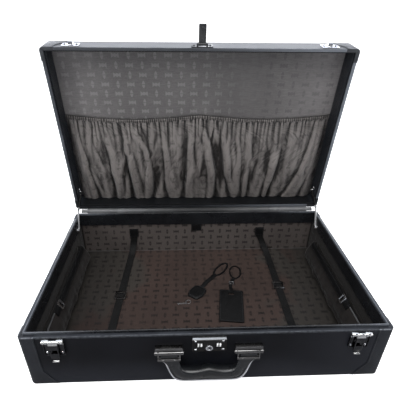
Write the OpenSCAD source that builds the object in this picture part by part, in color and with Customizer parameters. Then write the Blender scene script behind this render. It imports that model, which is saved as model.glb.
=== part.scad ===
// Hard travel case: a board base and lid covered and bound in leather, joined at the back by three
// hinges and held open by two folding stays, with latches, a combination lock and a leather handle.
// Millimetres. Origin at the centre of the base's underside, X to the right, Y to the hinges, Z up.
// The lid's parts are drawn closed and then swung to the angle at which the stays hold them.

/* [Case] */
// Width over the covering, side to side
case_w = 698; // [560:1:900]
// Depth over the covering, front to back
case_d = 438; // [360:1:560]
// Height of the base, floor to rim
base_h = 134; // [126:1:200]
// Depth of the lid, rim to top
lid_h = 54.6; // [52:0.2:90]
// Angle at which the stays hold the lid open
open_angle = 82; // [60:1:95]
// Radius of the upright corners
corner_r = 8; // [6:0.5:8.5]
// Radius of the bottom edges and the lid's top edges
edge_r = 4.5; // [2.5:0.5:5.5]

/* [Walls] */
// Thickness of the outer covering
cover_t = 1.5; // [1:0.1:2]
// Thickness of the wall boards
board_t = 6; // [5:0.5:8]
// Thickness of the boards under the floor and the lid's top
panel_t = 5; // [4:0.5:7]
// Thickness of the cloth lining
lining_t = 1.2; // [0.8:0.1:1.5]
// Thickness of the cloth-covered card on the floor
floor_card_t = 1.5; // [1:0.1:3]
// Height of the leather binding on both rims
rim_h = 3; // [2:0.5:4]
// Thickness of the leather covered liner inside the walls
liner_t = 3; // [2.5:0.1:4]
// How far the base's liner stands above the rim as a lip
lip_rise = 4.7; // [3:0.1:6]
// How far the base's liner reaches below the rim
band_h = 34; // [31:1:36]
// Clearance between the lip and the closed lid's wall
lip_fit = 0.5; // [0.4:0.1:1]
// Gap between the two rims with the lid closed
closing_gap = 0.4; // [0.3:0.1:0.8]

/* [Corner leathers] */
// Thickness of the leather on each corner
patch_t = 1; // [0.8:0.1:1.5]
// Width of a corner leather on each face
patch_w = 29; // [22:1:34]
// Extra width where it flares at the bottom or top edge
patch_flare = 26; // [15:1:34]
// Height over which it flares
patch_flare_h = 40; // [25:1:44]

/* [Hinges] */
// Distance of the hinge pins behind the back covering
hinge_out = 10; // [9:0.5:12]
// Length of each hinge
hinge_w = 60; // [40:1:80]
// Distance of the outer hinges from the case's ends
hinge_inset = 114; // [80:1:150]
// Height of each hinge leaf
leaf_h = 26; // [18:1:30]
// Thickness of each hinge leaf
leaf_t = 1.5; // [1.2:0.1:2]
// Outer radius of the hinge knuckles
knuckle_r = 4; // [3.5:0.1:4.5]
// Radius of the hinge pins
hinge_pin_r = 2; // [1.5:0.1:2.5]
// Thickness of the leather strip that closes the gap at the hinges
gusset_t = 0.8; // [0.6:0.1:1]

/* [Stays] */
// Distance of the stays' lower pivots in front of the hinge pins
stay_run = 51; // [40:1:60]
// Distance of those pivots below the hinge pins
stay_drop = 28; // [22:1:30]
// Width of the stay arms
stay_w = 9; // [7:0.5:11]
// Thickness of the stay arms
stay_t = 1.5; // [1.2:0.1:2]
// Radius of the stay rivets
stay_pin_r = 2; // [1.5:0.1:2.5]

/* [Latches] */
// Distance of the latches' centres from the case's ends
latch_inset = 63.3; // [60:0.5:90]
// Width of the latch plates and their catches
latch_w = 38; // [34:1:44]
// Height of the latch plates
latch_h = 36.5; // [34:0.5:42]
// Width of the hasps
hasp_w = 17; // [15:0.5:20]
// Length of the hasps, pin to tip
hasp_l = 50; // [46:1:52]
// Thickness of the hasps
hasp_t = 2; // [1.5:0.1:2.2]
// Distance from a hasp's pin to the nose that it hooks
nose_reach = 25; // [22:1:27]
// Width of the nose on each catch
nose_w = 11; // [8:0.5:11.5]
// Height of the nose on each catch
nose_h = 8; // [6:0.5:10]
// How far the nose stands out from the lid
nose_out = 8.6; // [8:0.1:10]
// Radius of the hasp pins
hasp_pin_r = 1.5; // [1.2:0.1:1.8]

/* [Lock] */
// Width of the lock
lock_w = 64; // [60:1:72]
// Height of the lock
lock_h = 31.5; // [30:0.5:34]
// How far the lock stands out from the front
lock_t = 8; // [7.5:0.1:9]
// Distance of the lock's top edge below the rim
lock_drop = 6; // [5:0.5:8]
// Radius of the number wheels
dial_r = 8; // [7.5:0.1:8.5]
// Width of the number wheels
dial_w = 3; // [2.6:0.1:3.2]
// Distance between the two wheels of a pair
dial_pitch = 5.3; // [5:0.1:5.6]
// Distance of each pair's inner wheel from the middle
dial_x = 15; // [14.5:0.1:16]
// How far the wheels stand out of the lock's face
dial_proud = 1.2; // [0.8:0.1:1.5]
// Outer radius of the socket for the lid's stud
socket_r = 6; // [5.5:0.1:6.2]
// Width of the tab on the lid's centre hasp
tab_w = 16; // [13:0.5:20]
// Thickness of the tab
tab_t = 2.2; // [1.8:0.1:2.6]
// Length of the tab past its stud
tab_end = 7; // [6:0.5:10]
// Angle at which the tab stands out from its folded place
tab_open = 90; // [60:1:120]
// Width of the hasp's plate on the lid
tab_plate_w = 48; // [44:1:56]

/* [Handle] */
// Distance of the handle brackets' centres from the middle
bracket_x = 75.2; // [72:0.2:90]
// Width of each handle bracket
bracket_w = 52.5; // [48:0.5:56]
// Height of the handle pins above the base's underside
handle_z = 94; // [86:1:98]
// Distance of the handle pins in front of the covering
handle_out = 9; // [8.5:0.1:11]
// Radius of the handle pins
handle_pin_r = 2; // [1.6:0.1:2.4]
// Thickness of the leather grip
grip_t = 21; // [16:0.5:23]
// Distance from the handle pins to the grip's lower edge
grip_drop = 72; // [66:1:76]
// Distance of the middle of the grip in front of the covering
grip_out = 13.5; // [12.5:0.5:16]

/* [Inside] */
// Width of the webbing straps
strap_w = 19; // [15:0.5:25]
// Thickness of the webbing straps
strap_t = 1.6; // [1.2:0.1:2]
// Distance of the webbing straps from the middle
strap_x = 207; // [180:1:230]
// Length of the side pockets
side_pocket_l = 350; // [250:1:370]
// Height of the side pockets' mouths above the floor's lining
side_pocket_h = 62; // [40:1:64]
// How far the mouths stand off the walls
side_pocket_out = 12; // [9:0.5:18]
// How far the slack of the side pockets hangs out below their mouths
side_pocket_slack = 17; // [8:1:20]
// Distance from the lid's back wall to the mouth of the ruched pocket
pocket_h = 249; // [200:1:280]
// How far the mouth of the ruched pocket sags between its fixings
pocket_sag = 12; // [0:1:16]
// How far the pocket's foot stands off the lid's lining
pocket_foot = 11; // [8:0.5:14]
// How far the cloth swells beyond its foot and mouth
pocket_swell = 9; // [4:0.5:11]
// Thickness of the pocket's cloth
cloth_t = 0.9; // [0.7:0.1:1.2]
// Width of the luggage tag
tag_w = 60; // [50:1:70]
// Length of the luggage tag
tag_l = 107; // [90:1:115]
// Thickness of the luggage tag
tag_t = 3; // [2:0.5:4]

/* [Hidden] */
$fn = 64;

black_leather = [0.10, 0.11, 0.13];
black_cover = [0.08, 0.09, 0.11];
raw_board = [0.62, 0.49, 0.34];
lining_cloth = [0.42, 0.40, 0.39];
webbing = [0.13, 0.13, 0.14];
chrome = [0.78, 0.79, 0.81];
dark_chrome = [0.30, 0.31, 0.33];

half_w = case_w / 2;
half_d = case_d / 2;
base_wall = cover_t + board_t;
lid_wall = base_wall - lip_fit;
lip_in = base_wall + liner_t;
lid_in = lid_wall + liner_t;
floor_z = cover_t + panel_t;
floor_top = floor_z + floor_card_t;
hinge_y = half_d + hinge_out;
hinge_z = base_h;
lid_low = base_h + closing_gap;
lid_top = lid_low + lid_h;
lining_z = lid_top - cover_t - panel_t - lining_t;
// Clearance above the base's lip when the lid is closed
liner_top_gap = 1.5;
cut = 1;
running_fit = 0.05;
part_gap = 0.3;
plate_t = 2;

// Screws that show: a shallow slotted dome on a short shank
screw_head_r = 2.6;
screw_head_h = 1.3;
screw_r = 1.25;

// Swings parts drawn in the closed lid to where the stays hold them
module in_lid() {
  translate([0, hinge_y, hinge_z]) rotate([-open_angle, 0, 0])
    translate([0, -hinge_y, -hinge_z]) children();
}

// Turns a tray drawn upwards from z = 0 into the lid
module lid_tray() {
  in_lid() translate([0, 0, lid_top]) mirror([0, 0, 1]) children();
}

// Local X to the right, Y up and Z outwards on the front covering
module on_front(x, z) {
  translate([x, -half_d, z]) rotate([90, 0, 0]) children();
}

// Runs a profile drawn in Y and Z along X
module along_x(from, length) {
  translate([from, 0, 0]) rotate([90, 0, 90]) linear_extrude(length) children();
}

// The same shape on both sides of the case
module both_sides() {
  children();
  mirror([1, 0, 0]) children();
}

module four_corners() {
  both_sides() {
    children();
    mirror([0, 1, 0]) children();
  }
}

function unit(v) = v / norm(v);
function normal_at(p, i) =
  let (a = p[max(i - 1, 0)], b = p[min(i + 1, len(p) - 1)], d = unit(b - a)) [-d[1], d[0]];
function side_of(p, off) = [for (i = [0 : len(p) - 1]) p[i] + off * normal_at(p, i)];
function backwards(p) = [for (i = [len(p) - 1 : -1 : 0]) p[i]];
function ring_side(p, off) = [for (i = [0 : len(p) - 1])
  let (a = p[(i + len(p) - 1) % len(p)], b = p[(i + 1) % len(p)], d = unit(b - a))
  p[i] + off * [-d[1], d[0]]];
function arc_points(c, r, a, b, n) =
  [for (i = [0 : n]) c + r * [cos(a + (b - a) * i / n), sin(a + (b - a) * i / n)]];

// Flat strip of a width along an open line
module strip(p, w) {
  polygon(concat(side_of(p, w / 2), backwards(side_of(p, -w / 2))));
}

// Flat strip of a width along a closed line
module loop_strip(p, w) {
  difference() {
    polygon(ring_side(p, -w / 2));
    polygon(ring_side(p, w / 2));
  }
}

// Bar with round ends between two points
module link_shape(a, b, w) {
  d = b - a;
  length = norm(d);
  translate(a) rotate(atan2(d[1], d[0])) union() {
    translate([0, -w / 2]) square([length, w]);
    circle(w / 2);
    translate([length, 0]) circle(w / 2);
  }
}

module rounded_plate(w, h, r, t) {
  linear_extrude(t) {
    square([w - 2 * r, h], center = true);
    square([w, h - 2 * r], center = true);
    for (sx = [-1, 1], sy = [-1, 1]) translate([sx * (w / 2 - r), sy * (h / 2 - r)]) circle(r);
  }
}

module screw(shank) {
  difference() {
    cylinder(h = screw_head_h, r1 = screw_head_r, r2 = screw_head_r * 0.6);
    translate([0, 0, screw_head_h]) cube([2 * screw_head_r, 0.7, 0.9], center = true);
  }
  translate([0, 0, -shank]) cylinder(h = shank, r = screw_r);
}

module screw_hole(depth) {
  translate([0, 0, -cut]) cylinder(h = depth + 2 * cut, r = screw_r + running_fit);
}

// Plan of the case, set in from the covering
module outline(inset) {
  r = max(corner_r - inset, 0);
  w = case_w - 2 * inset;
  d = case_d - 2 * inset;
  square([w - 2 * r, d], center = true);
  square([w, d - 2 * r], center = true);
  if (r > 0) {
    for (sx = [-1, 1], sy = [-1, 1]) translate([sx * (w / 2 - r), sy * (d / 2 - r)]) circle(r);
  }
}

module slab(inset, low, high) {
  translate([0, 0, low]) linear_extrude(high - low) outline(inset);
}

module wall_ring(outer, inner, low, high) {
  translate([0, 0, low]) linear_extrude(high - low) difference() {
    outline(outer);
    outline(inner);
  }
}

// Half of the section across an edge: upright wall with its lower corner rounded
module edge_section(r, e, h) {
  intersection() {
    union() {
      translate([0, e]) square([r, h - e]);
      square([r - e, h]);
      translate([r - e, e]) circle(e);
    }
    square([r, h]);
  }
}

// Solid block of the case's plan with its bottom edges rounded; grow makes it larger outwards
module rounded_block(grow, h) {
  r = corner_r + grow;
  e = edge_r + grow;
  w = half_w - corner_r;
  d = half_d - corner_r;
  tall = h + grow;
  translate([0, 0, -grow]) {
    four_corners() translate([w, d, 0]) rotate_extrude() edge_section(r, e, tall);
    for (s = [0, 1]) {
      mirror([0, s, 0]) translate([0, d, 0]) along_x(-w, 2 * w) edge_section(r, e, tall);
      mirror([s, 0, 0]) translate([w, d, 0]) rotate([90, 0, 0]) linear_extrude(2 * d)
        edge_section(r, e, tall);
    }
    translate([-w, -d, 0]) cube([2 * w, 2 * d, tall]);
  }
}

// Where a corner leather lies on one wall: half is half of that wall's length
module leather_on_wall(half, h) {
  w = half - patch_w;
  polygon([[w, h], [half + 9, h], [half + 9, -9], [w - patch_flare, -9],
    [w - patch_flare, 0], [w, patch_flare_h]]);
}

// Leathers on the four corners of a tray whose underside is at z = 0
module corner_leathers(h, wall) {
  reach = patch_w + patch_flare;
  four_corners() {
    intersection() {
      difference() {
        rounded_block(patch_t, h);
        rounded_block(0, h + cut);
      }
      union() {
        translate([0, half_d + 9, 0]) rotate([90, 0, 0]) linear_extrude(9 + corner_r)
          leather_on_wall(half_w, h);
        translate([half_w - corner_r, 0, 0]) rotate([90, 0, 90]) linear_extrude(9 + corner_r)
          leather_on_wall(half_d, h);
        translate([0, 0, -9]) linear_extrude(9 + patch_t) polygon([[half_w - reach, half_d + 9],
          [half_w + 9, half_d + 9], [half_w + 9, half_d - reach], [half_w, half_d - reach],
          [half_w - reach, half_d]]);
      }
    }
    intersection() {
      wall_ring(-patch_t, wall, h - rim_h, h);
      translate([half_w - patch_w, half_d - patch_w, 0]) cube([patch_w + 9, patch_w + 9, h]);
    }
  }
}

// Leather binding on a rim, between the corner leathers
module rim_binding(h, wall) {
  difference() {
    wall_ring(0, wall, h - rim_h, h);
    four_corners() translate([half_w - patch_w, half_d - patch_w, h - rim_h - cut])
      cube([patch_w + 9, patch_w + 9, rim_h + 2 * cut]);
  }
}

// Base

// The lock's works reach back through the covering and the board
lock_top = base_h - lock_drop;
lock_z = lock_top - lock_h / 2;
socket_z = lock_top - 23.5;
dial_z = lock_top - 15.7;
dial_out = lock_t + dial_proud - dial_r;
mortise_w = 2 * (dial_x + dial_pitch + dial_w) + 1;
mortise_h = 2 * (dial_r + 0.5);

module lock_mortise() {
  translate([-mortise_w / 2, -half_d - cut, dial_z - mortise_h / 2])
    cube([mortise_w, base_wall + cut, mortise_h]);
}

module base_leathers() {
  translate([0, 0, patch_t]) corner_leathers(base_h - patch_t, base_wall);
}

module base_shell() {
  color(raw_board) difference() {
    rounded_block(-cover_t, base_h - rim_h);
    slab(base_wall, floor_z, base_h);
    lock_mortise();
  }
}

module base_cover() {
  color(black_cover) difference() {
    rounded_block(0, base_h - rim_h);
    rounded_block(-cover_t, base_h);
    base_leathers();
    lock_mortise();
  }
}

module base_rim() {
  color(black_leather) rim_binding(base_h, base_wall);
}

module base_corners() {
  color(black_leather) base_leathers();
}

// Leather covered liner: the dark band inside the walls, ending above the rim in a round bead
module base_lip() {
  mid = base_wall + liner_t / 2;
  bead_z = base_h + lip_rise - liner_t / 2;
  x = half_w - mid;
  y = half_d - mid;
  color(black_leather) {
    wall_ring(base_wall, lip_in, base_h - band_h, bead_z);
    for (s = [-1, 1]) {
      translate([-x, s * y, bead_z]) rotate([0, 90, 0]) cylinder(h = 2 * x, r = liner_t / 2);
      translate([s * x, y, bead_z]) rotate([90, 0, 0]) cylinder(h = 2 * y, r = liner_t / 2);
      for (t = [-1, 1]) translate([s * x, t * y, bead_z]) sphere(liner_t / 2);
    }
  }
}

module base_lining() {
  color(lining_cloth) wall_ring(base_wall, base_wall + lining_t, floor_z, base_h - band_h);
}

module floor_lining() {
  color(lining_cloth) slab(base_wall + lining_t, floor_z, floor_top);
}

// Inside the base: pockets on the side walls
in_x = half_w - base_wall - lining_t;
in_y = half_d - base_wall - lining_t;
side_front = -in_y + 12;
side_mouth_z = floor_top + side_pocket_h;
side_sheet = 2;

side_back_t = 1.2;

// Middle line of a side pocket's slack sheet, from the foot of the wall out to its mouth
side_foot = [in_x - side_sheet, floor_top + side_sheet];
side_mouth = [in_x - side_pocket_out, side_mouth_z];
side_belly = [side_mouth[0] - 2.3 * side_pocket_slack, side_foot[1]];
side_curve = [for (i = [0 : 14]) let (t = i / 14)
  (1 - t) * (1 - t) * side_foot + 2 * t * (1 - t) * side_belly + t * t * side_mouth];

// Section of a side pocket: its sheet, the bead at the mouth and the back against the wall
module side_pocket_section() {
  strip(side_curve, side_sheet);
  translate(side_mouth) circle(side_sheet * 0.9);
  translate([in_x - 2 * side_sheet, floor_top]) square([2 * side_sheet, side_sheet * 2]);
  translate([in_x - side_back_t, floor_top]) square([side_back_t, side_pocket_h - 2]);
}

// End wall of a side pocket, closing it to the case's wall
module side_pocket_end() {
  polygon(concat(side_curve, [[in_x, side_mouth_z - 2], [in_x, floor_top]]));
}

module side_pockets() {
  color(black_leather) both_sides() {
    translate([0, side_front + side_pocket_l, 0]) rotate([90, 0, 0]) {
      linear_extrude(side_pocket_l) side_pocket_section();
      linear_extrude(side_sheet) side_pocket_end();
      translate([0, 0, side_pocket_l - side_sheet]) linear_extrude(side_sheet) side_pocket_end();
    }
  }
}

// Strap on the mouth of a side pocket, from the back to a buckle near the front
side_strap_w = 15;
side_strap_t = 1.6;
side_strap_rise = 4;
side_strap_off = side_sheet * 0.9 + 0.1 + side_strap_t;
side_lean = atan2(side_mouth[0] - side_belly[0], side_mouth[1] - side_belly[1]);
buckle_y = side_front + side_pocket_l * 0.36;
buckle_w = 20;

// Place on the outer face of the strap at a side pocket's mouth, tilted with the sheet
module at_side_mouth(y, z) {
  translate([side_mouth[0], 0, side_mouth[1]]) rotate([0, side_lean, 0])
    translate([-side_strap_off, y, z]) children();
}

module side_straps() {
  back = side_front + side_pocket_l;
  color(webbing) both_sides() {
    at_side_mouth(buckle_y + 4, side_strap_rise - side_strap_w)
      cube([side_strap_t, back - buckle_y - 10, side_strap_w]);
    at_side_mouth(buckle_y - 28, side_strap_rise - side_strap_w)
      cube([side_strap_t, 24, side_strap_w]);
  }
}

// Two-slot buckle lying flat, its bars along X
module buckle(w, l, t, slot_w, slot_l) {
  difference() {
    rounded_plate(w, l, 2, t);
    for (s = [-1, 1]) translate([0, s * (l - slot_l) / 4, -cut])
      rounded_plate(slot_w, slot_l / 2, 0.8, t + 2 * cut);
  }
}

// Webbing that runs down the back wall, across the floor and up the front wall
anchor_t = strap_t + 1.4;
anchor_h = 26;
anchor_top = base_h - 49;
strap_bend = 34;
strap_foot = floor_top + strap_t / 2;
// How far each strap drifts inwards from front to back, and is pulled in at its back end
strap_drift = [0.05, 0];
strap_pull = [8, 24];

// Middle of a strap where it lies on the floor, for the left strap 0 or the right one 1
function strap_floor_x(i, y) = (2 * i - 1) * (strap_x - strap_drift[i] * y);
function strap_lift(z) = min(1, max(0, (z - strap_foot) / (anchor_top - anchor_h - strap_foot)));
function strap_mid_x(i, y, z) =
  strap_floor_x(i, y) - (2 * i - 1) * strap_pull[i] * (y > 0 ? 1 : 0.2) * strap_lift(z);
strap_line = let (y = in_y - strap_t / 2, low = anchor_top - anchor_h, end = anchor_top - 4)
  concat([[y, end], [y, low]],
    arc_points([y - strap_bend, strap_foot + strap_bend], strap_bend, 0, -90, 9),
    [[0, strap_foot]],
    arc_points([strap_bend - y, strap_foot + strap_bend], strap_bend, -90, -180, 9),
    [[-y, low], [-y, end]]);

module packing_strap(i) {
  n = len(strap_line);
  inner = side_of(strap_line, -strap_t / 2);
  outer = side_of(strap_line, strap_t / 2);
  points = [for (k = [0 : n - 1]) let (x = strap_mid_x(i, strap_line[k][0], strap_line[k][1]))
    each [[x - strap_w / 2, inner[k][0], inner[k][1]], [x + strap_w / 2, inner[k][0], inner[k][1]],
      [x + strap_w / 2, outer[k][0], outer[k][1]], [x - strap_w / 2, outer[k][0], outer[k][1]]]];
  sides = [for (k = [0 : n - 2], j = [0 : 3]) let (a = 4 * k + j, b = 4 * k + (j + 1) % 4)
    each [[a, b + 4, b], [a, a + 4, b + 4]]];
  e = 4 * n - 4;
  ends = [[0, 1, 2], [0, 2, 3], [e, e + 2, e + 1], [e, e + 3, e + 2]];
  color(webbing) polyhedron(points, concat(sides, ends));
}

slider_y = [15, 42];
slider_l = 28;
slider_t = 2;

// Sliders lying on the straps
module strap_sliders() {
  color(chrome) for (i = [0, 1]) translate([strap_floor_x(i, slider_y[i]), slider_y[i], floor_top + strap_t])
    buckle(strap_w + 9, slider_l, slider_t, strap_w + 1.5, slider_l - 9);
}

// Leather tabs sewn to the walls over the straps' ends, and a plain leather patch
patch_size = [30, 1.2, 23];

module strap_anchors() {
  color(black_leather) {
    for (i = [0, 1], end = [-1, 1]) mirror([0, end > 0 ? 0 : 1, 0])
      translate([strap_mid_x(i, end * in_y, anchor_top), in_y - anchor_t, anchor_top - anchor_h])
        difference() {
          translate([-strap_w / 2 - 3, 0, 0]) cube([strap_w + 6, anchor_t, anchor_h]);
          translate([-strap_w / 2 - 0.5, anchor_t - strap_t - 0.1, -cut])
            cube([strap_w + 1, strap_t + cut, anchor_h + cut - 3.6]);
        }
    translate([-20, in_y - patch_size[1], anchor_top - 9]) cube(patch_size);
  }
}

// Combination lock on the front

lock_wall = 1.6;
lock_screw_x = 25.5;
lock_screw_dz = 11.3;
lock_post_r = 3;
lug_t = 1.5;
dial_first = dial_x - dial_w / 2;
dial_last = dial_x + dial_pitch + dial_w / 2;
shaft_r = 1.5;

module lock_screw_places() {
  for (sx = [-1, 1], sy = [-1, 1])
    translate([sx * lock_screw_x, lock_z + sy * lock_screw_dz, 0]) children();
}

module lock_case() {
  color(dark_chrome) on_front(0, 0) difference() {
    union() {
      difference() {
        translate([0, lock_z, 0]) rounded_plate(lock_w, lock_h, 1.5, lock_t);
        translate([0, lock_z, -cut])
          rounded_plate(lock_w - 2 * lock_wall, lock_h - 2 * lock_wall, 1, lock_t - lock_wall + cut);
      }
      lock_screw_places() cylinder(h = lock_t - cut / 2, r = lock_post_r);
      // Lugs that hold the wheels' shafts
      for (side = [-1, 1], x = [dial_first - part_gap - lug_t, dial_last + part_gap])
        translate([side * (x + lug_t / 2) - lug_t / 2, dial_z - 3, 0])
          cube([lug_t, 6, lock_t - lock_wall + 0.1]);
      // Raised edges above and below the face
      for (s = [-1, 1]) translate([0, lock_z + s * (lock_h / 2 - 0.9), lock_t - 0.1])
        rounded_plate(lock_w - 3, 1.8, 0.8, 0.7);
    }
    translate([0, dial_z, dial_out]) rotate([0, 90, 0])
      cylinder(h = lock_w, r = shaft_r + running_fit, center = true);
    for (side = [-1, 1], x = [dial_x, dial_x + dial_pitch])
      translate([side * x, dial_z, dial_out]) rotate([0, 90, 0])
        cylinder(h = dial_w + 2 * part_gap, r = dial_r + part_gap, center = true);
    translate([0, socket_z, 0]) cylinder(h = lock_t + cut, r = socket_r + running_fit);
    translate([0, socket_z, lock_t]) cylinder(h = 2, r = socket_r + socket_flange + part_gap);
    lock_screw_places() screw_hole(lock_t);
  }
}

// Keyhole slide in the lock that holds the neck of the lid's stud
stud_head_r = 3;
stud_neck_r = 2;
bolt_travel = 3.5;
bolt_low = lock_top - lock_h + lock_wall + part_gap;
bolt_out = 2.6;
bolt_t = 1.5;
socket_rim = 0.9;
socket_flange = 1;

// Flanged ring in the face that the stud drops into
module lock_socket() {
  low = bolt_out + bolt_t + 0.2;
  color(chrome) on_front(0, socket_z) difference() {
    union() {
      translate([0, 0, lock_t]) cylinder(h = socket_rim, r = socket_r + socket_flange);
      translate([0, 0, low]) cylinder(h = lock_t - low + 0.1, r = socket_r);
    }
    translate([0, 0, low - cut]) cylinder(h = lock_t, r = socket_r - 1.8);
  }
}

module lock_bolt() {
  top = socket_z + stud_head_r + 2.6;
  color(dark_chrome) on_front(0, 0) difference() {
    translate([-bolt_travel - 5.5, bolt_low, bolt_out]) cube([bolt_travel + 11.2, top - bolt_low, bolt_t]);
    translate([0, socket_z, bolt_out - cut]) {
      cylinder(h = 9, r = stud_neck_r + 0.4);
      translate([-bolt_travel, -stud_neck_r - 0.4, 0]) cube([bolt_travel, 2 * stud_neck_r + 0.8, 9]);
      translate([-bolt_travel, 0, 0]) cylinder(h = 9, r = stud_head_r + 0.4);
    }
  }
}

module dial_shafts() {
  length = dial_last - dial_first + 2 * (part_gap + lug_t);
  color(chrome) on_front(0, dial_z) for (side = [-1, 1])
    translate([side * (dial_first + dial_last) / 2, 0, dial_out]) rotate([0, 90, 0])
      cylinder(h = length, r = shaft_r, center = true);
}

// Number wheel with ten flats for its digits
module dial(x) {
  color(chrome) on_front(x, dial_z) translate([0, 0, dial_out]) rotate([0, 90, 0]) difference() {
    cylinder(h = dial_w, r = dial_r, center = true);
    cylinder(h = dial_w + 2 * cut, r = shaft_r + running_fit, center = true);
    for (i = [0 : 9]) rotate([0, 0, 36 * i + 18]) translate([dial_r + 0.35, 0, 0])
      cylinder(h = dial_w + 2 * cut, r = 0.9, center = true, $fn = 16);
  }
}

module dial_1() { dial(-dial_x - dial_pitch); }
module dial_2() { dial(-dial_x); }
module dial_3() { dial(dial_x); }
module dial_4() { dial(dial_x + dial_pitch); }

// Latches on the front of the base

latch_x = half_w - latch_inset;
hasp_knuckle_r = 3;
hasp_pin_z = base_h - rim_h - hasp_knuckle_r - 0.5;
hasp_pin_out = 5.5;
hasp_low = hasp_pin_out - 0.2;
hasp_knuckle_w = nose_w + 2;
latch_low = hasp_pin_z - latch_h;
latch_border = 1.3;
latch_border_h = 4.4;
latch_screw_x = latch_w / 2 - 4.9;

module latch_screw_places() {
  for (sx = [-1, 1], z = [latch_low + 5.5, hasp_pin_z - hasp_knuckle_r - 4.5])
    translate([sx * latch_screw_x, z, plate_t]) children();
}

module latch_plate(side) {
  plate_top = hasp_pin_z - hasp_knuckle_r + 0.5;
  plate_h = plate_top - latch_low;
  color(chrome) on_front(side * latch_x, 0) difference() {
    union() {
      translate([0, latch_low + plate_h / 2, 0]) rounded_plate(latch_w, plate_h, 2, plate_t);
      translate([0, latch_low + plate_h / 2, 0]) difference() {
        rounded_plate(latch_w, plate_h, 2, latch_border_h);
        translate([0, latch_border, -cut])
          rounded_plate(latch_w - 2 * latch_border, plate_h, 1, 9);
      }
      for (s = [-1, 1]) {
        inner = hasp_knuckle_w / 2 + part_gap;
        length = latch_w / 2 - inner;
        translate([s * (inner + length / 2), hasp_pin_z, hasp_pin_out]) rotate([0, 90, 0])
          cylinder(h = length, r = hasp_knuckle_r, center = true);
        translate([s * (inner + length / 2) - length / 2, hasp_pin_z - hasp_knuckle_r, 0])
          cube([length, 2 * hasp_knuckle_r, hasp_pin_out]);
      }
    }
    translate([0, hasp_pin_z, hasp_pin_out]) rotate([0, 90, 0])
      cylinder(h = latch_w + 2 * cut, r = hasp_pin_r + running_fit / 2, center = true);
    latch_screw_places() translate([0, 0, -plate_t]) screw_hole(plate_t);
  }
}

module latch_plate_left() { latch_plate(-1); }
module latch_plate_right() { latch_plate(1); }

module hasp_pins() {
  color(chrome) for (side = [-1, 1]) on_front(side * latch_x, hasp_pin_z)
    translate([0, 0, hasp_pin_out]) rotate([0, 90, 0])
      cylinder(h = latch_w, r = hasp_pin_r, center = true);
}

// Strap hasp that hangs from its pin and swings up over the nose on the lid
module latch_hasp(side) {
  wide_from = hasp_knuckle_r + 0.7;
  tongue_w = hasp_w - 5;
  tongue_l = 7;
  color(chrome) on_front(side * latch_x, hasp_pin_z) difference() {
    union() {
      translate([0, 0, hasp_pin_out]) rotate([0, 90, 0])
        cylinder(h = hasp_knuckle_w, r = hasp_knuckle_r, center = true);
      translate([-hasp_knuckle_w / 2, -wide_from - 1, hasp_low])
        cube([hasp_knuckle_w, wide_from + 1, hasp_t]);
      translate([0, -(wide_from + hasp_l - tongue_l) / 2, hasp_low])
        rounded_plate(hasp_w, hasp_l - tongue_l - wide_from, 1.5, hasp_t);
      translate([-tongue_w / 2, -hasp_l, hasp_low]) cube([tongue_w, tongue_l + 2, hasp_t]);
      translate([-tongue_w / 2, -hasp_l, hasp_low]) cube([tongue_w, 2.4, hasp_t + 2.6]);
    }
    translate([0, 0, hasp_pin_out]) rotate([0, 90, 0])
      cylinder(h = hasp_knuckle_w + 2 * cut, r = hasp_pin_r + running_fit, center = true);
    translate([-nose_w / 2 - 0.7, -nose_reach - nose_h / 2 - 0.7, hasp_low - cut])
      cube([nose_w + 1.4, nose_h + 1.4, hasp_t + 2 * cut]);
  }
}

module latch_hasp_left() { latch_hasp(-1); }
module latch_hasp_right() { latch_hasp(1); }

// Handle

bracket_lug = 4;
bracket_low = handle_z - 8;
bracket_top = handle_z + 12;
loop_r = 4;
loop_w = bracket_w - 2 * bracket_lug - 1;
arm_w = 32;
arm_t = 4.4;
cheek_drop = 18;

module handle_screw_places() {
  for (s = [-1, 1]) translate([s * 13, bracket_low + 4, plate_t]) children();
}

// Plate with a hood along its top and a lug at each end for the pin
module handle_bracket(side) {
  h = bracket_top - bracket_low;
  color(chrome) on_front(side * bracket_x, 0) difference() {
    union() {
      translate([0, bracket_low + h / 2, 0]) rounded_plate(bracket_w, h, 1.5, plate_t);
      translate([0, bracket_top - 3, 0]) rounded_plate(bracket_w, 6, 1.5, handle_out + 1);
      for (s = [-1, 1]) translate([s * (bracket_w - bracket_lug) / 2 - bracket_lug / 2, 0, 0]) {
        translate([0, handle_z, 0]) cube([bracket_lug, bracket_top - handle_z - 2, handle_out + 1]);
        translate([0, handle_z - 4, 0]) cube([bracket_lug, 8, handle_out]);
        translate([0, handle_z, handle_out]) rotate([0, 90, 0]) cylinder(h = bracket_lug, r = 4);
      }
    }
    translate([0, handle_z, handle_out]) rotate([0, 90, 0])
      cylinder(h = bracket_w + 2 * cut, r = handle_pin_r + running_fit / 2, center = true);
    handle_screw_places() translate([0, 0, -plate_t]) screw_hole(plate_t);
  }
}

module handle_bracket_left() { handle_bracket(-1); }
module handle_bracket_right() { handle_bracket(1); }

module handle_pins() {
  color(chrome) for (side = [-1, 1]) on_front(side * bracket_x, handle_z)
    translate([0, 0, handle_out]) rotate([0, 90, 0]) {
      cylinder(h = bracket_w, r = handle_pin_r, center = true);
      for (s = [-1, 1]) translate([0, 0, s * (bracket_w / 2 + 0.6)])
        cylinder(h = 1.2, r = handle_pin_r + 1, center = true);
    }
}

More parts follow.
